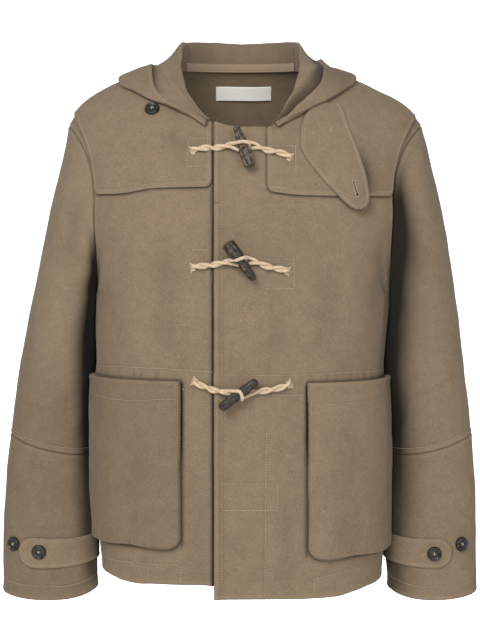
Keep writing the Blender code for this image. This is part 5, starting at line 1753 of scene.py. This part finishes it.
# The tab's slanted buttonhole in millimetres: its start (x, z), its direction, and one half of its
# sewn edge as (along, aside).
TAB_HOLE = (148.6, -132.0)
TAB_HOLE_WAY = (6.0, -18.0)
TAB_HOLE_EDGE = (
    (-1.2, 0), (-0.9, 1.3), (2, 1.6), (8, 1.6), (14, 1.6), (16.4, 1.9), (17.8, 2.7), (19.6, 2.5), (20.9, 1.2),
)


def make_tab():
    """The throat tab, with its slanted buttonhole."""
    heights = TAB.columns["height"]
    steps = places(-0.031 - heights[0], 0.0012, EDGE_STEPS, None)
    z = heights[0] + steps
    share = places(0.055, 0.0012, EDGE_STEPS, EDGE_STEPS) / 0.055
    hidden = np.clip(z + 0.044, 0, 1)
    near_x = (TAB.at("near", z) + 0.9 * hidden)[:, None]
    far_x = (TAB.at("far", z) - 0.5 * hidden)[:, None]
    x = near_x + (far_x - near_x) * share
    rest = smooth_front(x, z[:, None] + 0 * x)
    normal = grid_normals(rest)
    normal = np.where((normal[..., 1:2] > 0), -normal, normal)
    over = TAB_LIFT - 0.0004 + 0.003 * ease(-z, 0.10, 0.17)[:, None] + 0 * x
    cloth = Cloth(rest + normal * over[..., None], (0, -1, 0))
    cloth.fold("left", "first", "right")
    cloth.topstitch(0.0052, "left", "first", "right")
    ripple(cloth, 1.4, 12.0)
    x, z = cloth.points[..., 0], cloth.points[..., 2]
    cloth.extra += 0.0012 * bell(x - 0.128 + (z + 0.1) * 0.35, 0.016)
    (hole_x, hole_z), (way_x, way_z) = TAB_HOLE, np.array(TAB_HOLE_WAY) / math.hypot(*TAB_HOLE_WAY)
    along = (x * 1000 - hole_x) * way_x + (z * 1000 - hole_z) * way_z
    aside = (z * 1000 - hole_z) * way_x - (x * 1000 - hole_x) * way_z
    eye = np.hypot(along - 18.5, aside)
    cut = bell(aside, 0.65) * ease(along, -0.5, 0.5) * (1 - ease(along, 17.0, 18.5))
    # painted shadow in the buttonhole's slit and eyelet
    cloth.darken(np.maximum(0.75 * cut, 1 - ease(eye, 1.2, 2.0)))
    cloth.extra -= 0.0007 * np.maximum(cut, 1 - ease(eye, 1.2, 2.2))
    make_wool("throat_tab", cloth, PATCH, ["cloth_yoke_left"])
    half = np.array(TAB_HOLE_EDGE)
    along, aside = np.concatenate([half, (half * (1, -1))[::-1]]).T
    marks = (hole_x + along * way_x - aside * way_z, hole_z + along * way_z + aside * way_x)
    marks = np.stack(marks, axis=-1)
    ring = [hole_line(cloth, start, end) for start, end in zip(marks[:-1], marks[1:])]
    sew("buttonhole_throat_tab", cloth, [np.concatenate(ring)], 0.0010, 0.0001, 0.00062)
    for number, x0 in enumerate((119.0, 121.6), 1):
        bar = hole_line(cloth, (x0, -60.5), (x0 - 0.5, -68.0))
        sew("bar_throat_tab_%d" % number, cloth, [bar], 0.0012, 0.0002, 0.0005)


def hole_line(cloth, start, end):
    """A line on a finished piece between two places seen from the front, in millimetres."""
    found = [meet(cloth.skin, x, z)[0] for x, z in np.linspace(start, end, 12) / 1000]
    return np.array([spot for spot in found if spot is not None])


def smooth_front(x, z):
    """Points of the left or right front's smooth outer surface, seen from the front."""
    out = np.empty(x.shape + (3,))
    for index in np.ndindex(x.shape):
        name = "front_left" if x[index] > LAP_EDGE - 0.001 else "front_right"
        found = meet(COAT[name].tree, x[index], z[index])[0]
        out[index] = found if found is not None else (x[index], -0.10, z[index])
    return out


def make_straps():
    for side, hand in ((1, "left"), (-1, "right")):
        tip = math.radians(STRAP_TIP[side])
        fine = np.linspace(tip, math.radians(STRAP_END), 500)
        middle = sleeve(side, fine, np.full(fine.shape, sum(STRAP_RINGS) / 2))
        run = run_of(middle)
        steps = places(run[-1], 0.003, EDGE_STEPS, None)
        turns = np.interp(steps, run, fine)
        short = np.clip(1 - (steps + 0.0003) / STRAP_ROUND, 0, 1)
        half = (STRAP_RINGS[1] - STRAP_RINGS[0]) / 2 * np.sqrt(1 - short**2)
        share = places(0.043, 0.0028, EDGE_STEPS, EDGE_STEPS) / 0.0215 - 1
        rings = sum(STRAP_RINGS) / 2 + half * share[:, None]
        over = LAYER + PATCH + 0.0002
        cloth = Cloth(sleeve(side, turns[None] + 0 * rings, rings, over), (0, -1, 0))
        cloth.fold("left", "first", "last")
        cloth.topstitch(0.0048, "left", "first", "last")
        ripple(cloth, 1.2, 14.0 + side)
        make_wool("cuff_strap_" + hand, cloth, PATCH, ["cloth_sleeve_lower_" + hand])
        if side > 0:
            hole = hole_line(cloth, (247, -646), (256, -642.5))
            sew("buttonhole_cuff_strap_left", cloth, [hole], 0.0010, 0.0002, 0.0006)


def make_trims():
    """The herringbone tape over the back neck seam and the blank label."""
    half = np.linspace(HOOD_SEAM - 184, -8, 24)
    turn = np.concatenate([half, -half[::-1]])
    around = 180 - np.abs(turn)
    edge = np.where((turn < 0)[:, None], neck_edge(-1, around), neck_edge(1, around))
    edge = resample(read_rows(edge, np.linspace(0, len(edge) - 1, 400)), 0.0022)
    rows = [edge + np.array([0, 0, 1]) * (z - edge[:, 2:]) for z in np.linspace(*TAPE_HEIGHTS, 16)]
    points = np.stack(rows)
    inward = points * (1, 1, 0)
    inward = inward / np.linalg.norm(inward, axis=-1, keepdims=True)
    cloth = Cloth(points - inward * (CLOTH + 3 * LAYER), (0, -1, 0))
    cloth.topstitch(0.0014, "first", "last")
    ripple(cloth, 0.8, 16.0)
    shell("neck_tape_woven", cloth, TAPE, "tape", ["neck_tape"])
    sew("stitches_neck_tape", cloth)
    x, z = np.linspace(*LABEL_X, 60)[None], np.linspace(*LABEL_Z, 18)[:, None]
    x, z = x + 0 * z, z + 0 * x
    skin = np.empty(x.shape + (3,))
    for index in np.ndindex(x.shape):
        skin[index] = meet(COAT["back"].tree, x[index], z[index], 1)[0]
    cloth = Cloth(skin - np.array([0, CLOTH + 2.5 * LAYER + TAPE, 0]), (0, -1, 0))
    cloth.extra += 0.0005 * np.sin(x * 90) - 0.0006 * ease(np.abs(x - 0.004), 0.028, 0.039)
    cloth.topstitch(0.0018, "left", "right")
    shell("neck_label_woven", cloth, LABEL, "label", ["neck_label"])
    sew("stitches_neck_label", cloth, None, 0.0015, 0.0008, 0.00018)


# --- cords and toggles ---


def frames_along(route, aside):
    """Two directions across a route at each of its points, which don't twist along it."""
    ways = np.gradient(route, axis=0)
    ways /= np.maximum(np.linalg.norm(ways, axis=-1, keepdims=True), 1e-9)
    aside, frames = np.array(aside), []
    for way in ways:
        aside = aside - way * np.dot(aside, way)
        aside = aside / np.linalg.norm(aside)
        frames.append((aside, np.cross(way, aside)))
    return np.array(frames)


def tube(points, faces, flats, route, radius, sides):
    """Adds a round strand along a route to the lists of a mesh, with its flat coordinates."""
    route = np.asarray(route, float)
    frames = frames_along(route, (0.31, 0.2, 0.93))
    base, count = len(points), len(route)
    angles = np.linspace(0, 2 * math.pi, sides, endpoint=False)[None, :, None]
    rings = route[:, None] + radius * (np.cos(angles) * frames[:, :1] + np.sin(angles) * frames[:, 1:])
    points.extend(rings.reshape(-1, 3))
    flats.extend((far, radius * 2 * math.pi * k / sides) for far in run_of(route) for k in range(sides))
    faces.extend((faces_of(count, sides, True) + base).tolist())
    faces.append(tuple(base + k for k in range(sides))[::-1])
    faces.append(tuple(base + (count - 1) * sides + k for k in range(sides)))


def plied(points, faces, flats, route, radius, pitch, start=0.0):
    """A strand laid up from three thinner yarns that wind round each other."""
    route = resample(route, 0.0011)
    frames = frames_along(route, (0.1, 0.2, 0.97))
    for yarn in range(3):
        angle = (2 * math.pi * (run_of(route) / pitch + yarn / 3) + start)[:, None]
        line = route + radius * 0.50 * (np.cos(angle) * frames[:, 0] + np.sin(angle) * frames[:, 1])
        tube(points, faces, flats, line, radius * 0.56, 6)


def smooth_line(marks, step=0.001):
    """A smooth line through a few points."""
    marks = np.asarray(marks, float)
    return resample(read_rows(marks, np.linspace(0, len(marks) - 1, 24 * len(marks))), step)


def on_top(x, z, over):
    """A point over the dressed fronts, at a distance from the cloth."""
    best = None
    for name in ("yoke_left", "yoke_right", "front_left", "front_right"):
        found, normal = meet(COAT[name].skin, x, z)
        if found is not None and (best is None or found.y < best[0].y):
            best = (found, normal)
    return np.array(best[0] + best[1] * over)


def toggle_frame(toggle):
    """Middle, axis and sideways direction of a toggle, from its two ends."""
    ends = []
    for end in ("upper", "lower"):
        found, normal = meet(COAT["front_left"].tree, *toggle[end])
        ends.append(found + normal * TOGGLE_LIFT)
    middle = (ends[0] + ends[1]) / 2
    axis = (ends[0] - ends[1]).normalized()
    across = Vector((0, -1, 0)).cross(axis).normalized()
    if across.x > 0:
        across = -across
    return middle, axis, across


TOGGLE_LOOKS = (
    {"bark": 1.0, "taper": (0.02, 0.30), "seed": 1.0},
    {"bark": 0.55, "taper": (0.30, -0.04), "seed": 4.0},
    {"bark": 0.40, "taper": (0.10, 0.12), "seed": 8.0},
)


def make_toggle(number, toggle, middle, axis, across):
    """A horn toggle: a rough turned bar with a waist, its grain running along it."""
    look = TOGGLE_LOOKS[number - 1]
    low, high = toggle["radii"]
    half = TOGGLE_LENGTH / 2
    tip = np.array([0, 2, 7, 16, 30, 50]) / 10000
    stations = np.concatenate([tip - half, np.linspace(0.007 - half, half - 0.007, 90), half - tip[::-1]])
    size = np.where(stations < 0, low, high)
    ends = np.sqrt(np.clip(1 - np.clip((np.abs(stations) - (half - 0.0035)) / 0.0035, 0, 1) ** 2, 0, 1))
    waist = TOGGLE_WAIST / size
    neck = 1 - (1 - waist) * hill(stations, 0.0, 0.0078)
    taper = 1 - np.where(stations < 0, *look["taper"]) * ease(np.abs(stations), 0.006, half)
    radius = size * ends * neck * taper
    turns = np.linspace(0, 2 * math.pi, 40, endpoint=False)
    seed = look["seed"]
    s, a = stations[:, None], turns[None]
    rough = np.sin(7 * a + 40 * s + seed) * 0.4 + np.sin(11 * a - 95 * s + 2 * seed) * 0.3
    rough = rough + np.sin(4 * a + 260 * s + 3 * seed) * np.sin(3 * a - 410 * s + seed) * 0.6
    rough = rough + 0.35 * np.sin(19 * a + 150 * s) * np.sin(900 * s + 5 * a + seed)
    move = 0.00055 * look["bark"] * rough * ends[:, None]
    flute = 0.0006 * np.cos(3 * a + seed)
    wide = radius[:, None] + move + flute * ends[:, None]
    out = np.array(across.cross(axis))
    middle, axis, across = (np.array(way) for way in (middle, axis, across))
    wide = wide[..., None]
    ways = np.cos(a)[..., None] * across + np.sin(a)[..., None] * out
    grid = middle + axis * s[..., None] + wide * ways
    rows, columns = grid.shape[:2]
    faces = faces_of(rows, columns, True).tolist()
    tips = [middle + axis * far for far in (-half - 0.0001, half + 0.0001)]
    points = np.concatenate([grid.reshape(-1, 3), tips])
    tip, last = rows * columns, (rows - 1) * columns
    for k in range(columns):
        after = (k + 1) % columns
        faces += [(after, k, tip), (last + k, last + after, tip + 1)]
    mesh = bpy.data.meshes.new("toggle")
    mesh.from_pydata(points.tolist(), [], faces)
    flats = [(k * 0.0011, far + half) for far in stations for k in range(columns)]
    lay_flat(mesh, flats + [(0, 0), (0, 0.06)])
    worn = look["bark"] * 0.35 * (rough + 1) - 0.12
    mark(mesh, "relief", np.concatenate([worn.ravel(), [0, 0]]))
    name = "toggle_horn"
    finish_piece("%s_%d" % (name, number), mesh, material(name), ["toggle_%d" % number])


def wound_pair(center, away):
    """Two strands that wind round each other along a line, and lie above each other at its end."""
    center = resample(center, 0.001)
    run = run_of(center)
    ways = np.gradient(center, axis=0)
    ways /= np.linalg.norm(ways, axis=-1, keepdims=True)
    lines = []
    for strand in (0, 1):
        angle = 2 * math.pi * (run[-1] - run) / CORD_PITCH + math.pi * strand + math.pi / 2
        up = np.array([0, 0, 1.0]) - ways * ways[:, 2:3]
        up /= np.linalg.norm(up, axis=-1, keepdims=True)
        out = np.cross(ways, up)
        out = np.where(out[:, 1:2] > 0, -out, out)
        spread = away * (1 + 0.12 * ease(run, run[-1] - 0.010, run[-1]))
        shift = np.sin(angle)[:, None] * up + np.cos(angle)[:, None] * out * 0.8
        lines.append(center + spread[:, None] * shift)
    return lines


def sewn_end(points, faces, flats, end, way, radius):
    """The cut end of a cord: pressed flat, with a few loose fibres."""
    aside = np.cross(way, (0, -1, 0))
    aside /= np.linalg.norm(aside)
    out = np.array([0, -1.0, 0])
    for number in range(15):
        shift = (number - 7) / 7
        start = end + aside * shift * radius * 1.9 + out * radius * 0.2 * math.cos(number * 2.4)
        reach = 0.0030 + 0.0012 * math.sin(number * 2.9)
        far = start - way * reach + aside * shift * radius * 0.9 - out * radius * 0.35
        fibre = smooth_line([start + way * 0.004, start, (start + far) / 2, far])
        tube(points, faces, flats, fibre, 0.00042, 5)


def make_cords():
    radius = CORD * 1.14
    for number, toggle in enumerate(TOGGLES, 1):
        middle, axis, across = toggle_frame(toggle)
        make_toggle(number, toggle, middle, axis, across)
        out = across.cross(axis)
        if out.y > 0:
            out = -out
        for kind in ("loop", "cord"):
            points, faces, flats = [], [], []
            end, is_loop = toggle[kind], kind == "loop"
            near_x = middle.x + (-0.0145 if is_loop else 0.0140)
            center = []
            for share in np.linspace(0, 1, 9):
                x = end[0] + (near_x - end[0]) * share
                z = end[1] + (middle.z - end[1]) * share + 0.0012 * math.sin(share * 5 + number)
                lift = 0.0030 + 0.0016 * ease(share, 0.0, 0.3) + 0.0035 * is_loop * ease(share, 0.6, 1.0)
                center.append(on_top(x, z, lift))
            lower, upper = sorted(wound_pair(np.array(center), radius * 0.92), key=lambda line: line[-1][2])
            bend = []
            if is_loop:
                ring = TOGGLE_WAIST + radius + 0.0003
                for degrees in range(70, 291, 20):
                    angle = math.radians(degrees)
                    slide = 0.0044 * (1 - 2 * (degrees - 70) / 220)
                    turn = middle + ring * (math.cos(angle) * across - math.sin(angle) * out) - axis * slide
                    bend.append(np.array(turn))
            else:
                for degrees in (60, 25, -25, -60):
                    angle = math.radians(degrees)
                    x = middle.x + 0.008 - 0.008 * math.cos(angle)
                    bend.append(on_top(x, middle.z - 0.0060 * math.sin(angle), radius + 0.0004))
            cut = -6 if is_loop else -4
            bend = smooth_line([lower[cut], *bend, upper[cut]])
            route = resample(np.concatenate([lower[:cut], bend, upper[:cut][::-1]]), 0.0011)
            plied(points, faces, flats, smooth_line(route[::6], 0.0011), radius, 0.0085, number)
            way = (center[1] - center[0]) / np.linalg.norm(center[1] - center[0])
            sewn_end(points, faces, flats, on_top(*end, 0.0016), way, radius)
            mesh = bpy.data.meshes.new(kind)
            mesh.from_pydata([tuple(point) for point in points], [], faces)
            lay_flat(mesh, flats)
            name = "%s_%d" % (kind, number)
            finish_piece("jute_" + name, mesh, material("jute"), [name])


# --- buttons ---


def make_button(name, place, turn):
    """A four-holed horn button with a raised rim, and the thread across its holes."""
    steps = [0, 6, 11, 15, 19, 22, 25, 28, 31, 36, 44, 54, 62, 68, 74, 80, 86, 91, 95, 98, 100, 101]
    steps = BUTTON * np.array(steps) / steps[-1]
    turns = np.linspace(0, 2 * math.pi, 64, endpoint=False)
    r, a = steps[:, None], turns[None]
    x, y = r * np.cos(a), r * np.sin(a)
    top = BUTTON_TOP * (0.62 + 0.38 * hill(r, 0.0082, 0.0022)) - 0.0026 * ease(r, 0.0088, BUTTON) ** 2
    top = top + 0 * a
    way = np.radians((45, 135, 225, 315))
    holes = BUTTON_HOLES * np.stack([np.cos(way), np.sin(way)], axis=-1)
    for hole in holes:
        top = top - 0.0019 * (1 - ease(np.hypot(x - hole[0], y - hole[1]), 0.0006, 0.0012))
    grid = np.stack([x, y, top], axis=-1)
    under = np.stack([x[-1], y[-1], 0 * x[-1] + 0.0003], axis=-1)
    rows, columns = grid.shape[:2]
    points = np.concatenate([grid.reshape(-1, 3), under, under * (0.9, 0.9, 0.0)])
    faces = faces_of(rows + 2, columns, True).tolist()
    faces.append(tuple((rows + 1) * columns + k for k in range(columns)))
    mesh = bpy.data.meshes.new(name)
    mesh.from_pydata(points.tolist(), [], faces)
    mesh.transform(place @ Matrix.Rotation(turn, 4, "Z"))
    finish_piece("horn_" + name, mesh, material("button_horn"), [name])
    points, faces, flats = [], [], []
    for k in range(2):
        for shift in (-0.0003, 0.0003):
            start, end = (np.array([hole[0] + shift, hole[1], 0.0010]) for hole in (holes[k], holes[k + 2]))
            high = (start + end) / 2 + np.array([0, 0, 0.0020 + 0.0003 * k])
            rises = [spot * (0.9, 0.9, 1) + (0, 0, 0.0012) for spot in (start, end)]
            line = smooth_line([start, rises[0], high, rises[1], end], 0.0004)
            tube(points, faces, flats, line, 0.00028, 6)
    mesh = bpy.data.meshes.new(name)
    mesh.from_pydata([tuple(point) for point in points], [], faces)
    mesh.transform(place @ Matrix.Rotation(turn, 4, "Z"))
    finish_piece("thread_" + name, mesh, material("thread"))


def seat(point, normal):
    """A matrix at a point whose Z is the normal."""
    z_axis = Vector(normal).normalized()
    x_axis = Vector((0, 0, 1)).cross(z_axis).normalized()
    turn = Matrix((x_axis, z_axis.cross(x_axis), z_axis)).transposed().to_4x4()
    return Matrix.Translation(Vector(point)) @ turn


def make_buttons():
    for name, button in BUTTONS.items():
        side = button["sleeve"]
        hand = "left" if side > 0 else "right"
        skin = COAT[("cuff_strap_" if "strap" in name else "sleeve_lower_") + hand].skin
        found, normal = meet(skin, *button["at"])
        make_button(name, seat(found + normal * 0.0004, normal), math.radians(button["turn"]))
    found, normal = meet(COAT["front_right"].tree, *THROAT_BUTTON)
    make_button("button_throat", seat(found + normal * (YOKE_STEP + 0.0002), normal), 0.6)


# --- stage ---

CAMERA_AWAY = 3.2
CAMERA_DOWN = 4.0
CAMERA_AIM = (0.0, 0.0, -0.325)
FOCAL = 2319.0
PICTURE_HIGH = 641


def turn_to(stand, aim):
    """Turns a camera or a lamp to what it looks at."""
    stand.rotation_euler = (aim - stand.location).to_track_quat("-Z", "Y").to_euler()


def make_stage():
    scene = bpy.context.scene
    tilt = math.radians(CAMERA_DOWN)
    aim = Vector(CAMERA_AIM)
    camera = bpy.data.cameras.new("camera")
    eye = bpy.data.objects.new("camera", camera)
    scene.collection.objects.link(eye)
    eye.location = aim + Vector((0, -CAMERA_AWAY * math.cos(tilt), CAMERA_AWAY * math.sin(tilt)))
    turn_to(eye, aim)
    camera.sensor_fit = "VERTICAL"
    camera.sensor_height = 24
    camera.lens = 24 * FOCAL / PICTURE_HIGH
    camera.shift_x = -0.5 / PICTURE_HIGH
    camera.clip_end = 60
    scene.camera = eye
    mesh = bpy.data.meshes.new("floor")
    far, height, rise = 14.0, -1.45, 9.0
    line = [(-far, height), (6.0, height)]
    for degrees in range(0, 91, 6):
        angle = math.radians(degrees)
        line.append((6.0 + 3.0 * math.sin(angle), height + 3.0 * (1 - math.cos(angle))))
    line.append((9.0, height + rise))
    points = [(x, y, z) for y, z in line for x in (-far, far)]
    faces = [(2 * k, 2 * k + 1, 2 * k + 3, 2 * k + 2) for k in range(len(line) - 1)]
    mesh.from_pydata(points, [], faces)
    mesh.materials.append(material("floor"))
    mesh.shade_smooth()
    floor = bpy.data.objects.new("floor", mesh)
    scene.collection.objects.link(floor)
    lamps = (
        ("key", (-1.15, -3.4, 1.80), 2.0, 158.0, (0, 0, -0.30)),
        ("fill", (1.5, -3.6, 0.60), 2.0, 52.0, (0, 0, -0.35)),
        ("backdrop", (0.0, 2.6, 2.6), 4.0, 420.0, (0, 8.0, -0.6)),
    )
    for name, place, size, strength, target in lamps:
        lamp = bpy.data.lights.new(name, "AREA")
        lamp.size, lamp.energy = size, strength
        stand = bpy.data.objects.new(name, lamp)
        stand.location = place
        turn_to(stand, Vector(target))
        scene.collection.objects.link(stand)
    world = bpy.data.worlds.new("studio")
    world.use_nodes = True
    world.node_tree.nodes["Background"].inputs[0].default_value = (1.0, 1.0, 1.0, 1.0)
    world.node_tree.nodes["Background"].inputs[1].default_value = 0.58
    scene.world = world
    scene.view_settings.view_transform = "Standard"


# --- add-on ---


def length(name, description, default, low, high):
    return FloatProperty(name=name, description=description, default=default, min=low, max=high,
                         subtype="DISTANCE", unit="LENGTH")


def colour(name, description, default):
    return FloatVectorProperty(name=name, description=description, default=default, size=3,
                               subtype="COLOR", min=0, max=1)


class CoatSizes(bpy.types.PropertyGroup):
    """Sizes of the coat's cloth and sewing."""

    cell: length("Cloth cell", "Size of the cloth grids' cells", 0.0037, 0.002, 0.02)
    twill: length("Twill", "Distance between the twill's ribs", 0.0017, 0.0005, 0.01)
    stitch: length("Stitch", "Length of one topstitch", 0.0028, 0.001, 0.01)
    stitch_gap: length("Stitch gap", "Gap between topstitches", 0.0009, 0.0001, 0.01)
    thread: length("Thread", "Thickness of the sewing thread", 0.00082, 0.0001, 0.003)


class CoatColours(bpy.types.PropertyGroup):
    """Colours of the coat's materials."""

    wool: colour("Wool", "Colour of the cloth", (0.157, 0.116, 0.0745))
    jute: colour("Jute", "Colour of the cords", (0.570, 0.425, 0.280))
    thread: colour("Thread", "Colour of the topstitching", (0.370, 0.285, 0.190))
    toggle: colour("Toggle", "Colour of the toggles' horn", (0.036, 0.027, 0.019))
    button: colour("Button", "Colour of the buttons' horn", (0.012, 0.010, 0.008))
    tape: colour("Tape", "Colour of the neck tape", (0.240, 0.170, 0.102))
    label: colour("Label", "Colour of the blank label", (0.78, 0.75, 0.68))


class COAT_OT_body(bpy.types.Operator):
    """Make the fronts and the back"""

    bl_idname = "coat.body"
    bl_label = "Body panels"

    def execute(self, context):
        make_body()
        return {"FINISHED"}


class COAT_OT_yokes(bpy.types.Operator):
    """Make the shoulder patches"""

    bl_idname = "coat.yokes"
    bl_label = "Shoulder patches"

    def execute(self, context):
        make_yokes()
        return {"FINISHED"}


class COAT_OT_sleeves(bpy.types.Operator):
    """Make the sleeves"""

    bl_idname = "coat.sleeves"
    bl_label = "Sleeves"

    def execute(self, context):
        make_sleeves()
        return {"FINISHED"}


class COAT_OT_pockets(bpy.types.Operator):
    """Make the patch pockets"""

    bl_idname = "coat.pockets"
    bl_label = "Pockets"

    def execute(self, context):
        make_pockets()
        return {"FINISHED"}


class COAT_OT_hood(bpy.types.Operator):
    """Make the turned-down hood"""

    bl_idname = "coat.hood"
    bl_label = "Hood"

    def execute(self, context):
        make_hood()
        return {"FINISHED"}


class COAT_OT_tab(bpy.types.Operator):
    """Make the throat tab"""

    bl_idname = "coat.tab"
    bl_label = "Throat tab"

    def execute(self, context):
        make_tab()
        return {"FINISHED"}


class COAT_OT_straps(bpy.types.Operator):
    """Make the cuff straps"""

    bl_idname = "coat.straps"
    bl_label = "Cuff straps"

    def execute(self, context):
        make_straps()
        return {"FINISHED"}


class COAT_OT_trims(bpy.types.Operator):
    """Make the neck tape and the blank label"""

    bl_idname = "coat.trims"
    bl_label = "Neck tape and label"

    def execute(self, context):
        make_trims()
        return {"FINISHED"}


class COAT_OT_cords(bpy.types.Operator):
    """Make the cords and the toggles"""

    bl_idname = "coat.cords"
    bl_label = "Cords and toggles"

    def execute(self, context):
        make_cords()
        return {"FINISHED"}


class COAT_OT_buttons(bpy.types.Operator):
    """Make the buttons"""

    bl_idname = "coat.buttons"
    bl_label = "Buttons"

    def execute(self, context):
        make_buttons()
        return {"FINISHED"}


class COAT_OT_stage(bpy.types.Operator):
    """Make the floor, the lights and the camera"""

    bl_idname = "coat.stage"
    bl_label = "Stage"

    def execute(self, context):
        make_stage()
        return {"FINISHED"}


OPERATORS = (
    COAT_OT_stage, COAT_OT_body, COAT_OT_yokes, COAT_OT_sleeves, COAT_OT_pockets, COAT_OT_hood,
    COAT_OT_tab, COAT_OT_straps, COAT_OT_trims, COAT_OT_cords, COAT_OT_buttons,
)


class COAT_PT_panel(bpy.types.Panel):
    """The coat's sizes, colours and pieces"""

    bl_idname = "COAT_PT_panel"
    bl_label = "Duffle coat"
    bl_space_type = "VIEW_3D"
    bl_region_type = "UI"
    bl_category = "Coat"

    def draw(self, context):
        for group in (context.scene.coat_sizes, context.scene.coat_colours):
            box = self.layout.box()
            for name in group.__annotations__:
                box.prop(group, name)
        for operator in OPERATORS:
            self.layout.operator(operator.bl_idname)


CLASSES = (CoatSizes, CoatColours, *OPERATORS, COAT_PT_panel)


def register():
    for made in CLASSES:
        bpy.utils.register_class(made)
    bpy.types.Scene.coat_sizes = PointerProperty(type=CoatSizes)
    bpy.types.Scene.coat_colours = PointerProperty(type=CoatColours)


def unregister():
    del bpy.types.Scene.coat_colours
    del bpy.types.Scene.coat_sizes
    for made in reversed(CLASSES):
        bpy.utils.unregister_class(made)


def main():
    register()
    for operator in OPERATORS:
        group, name = operator.bl_idname.split(".")
        getattr(getattr(bpy.ops, group), name)()


if __name__ == "__main__":
    main()
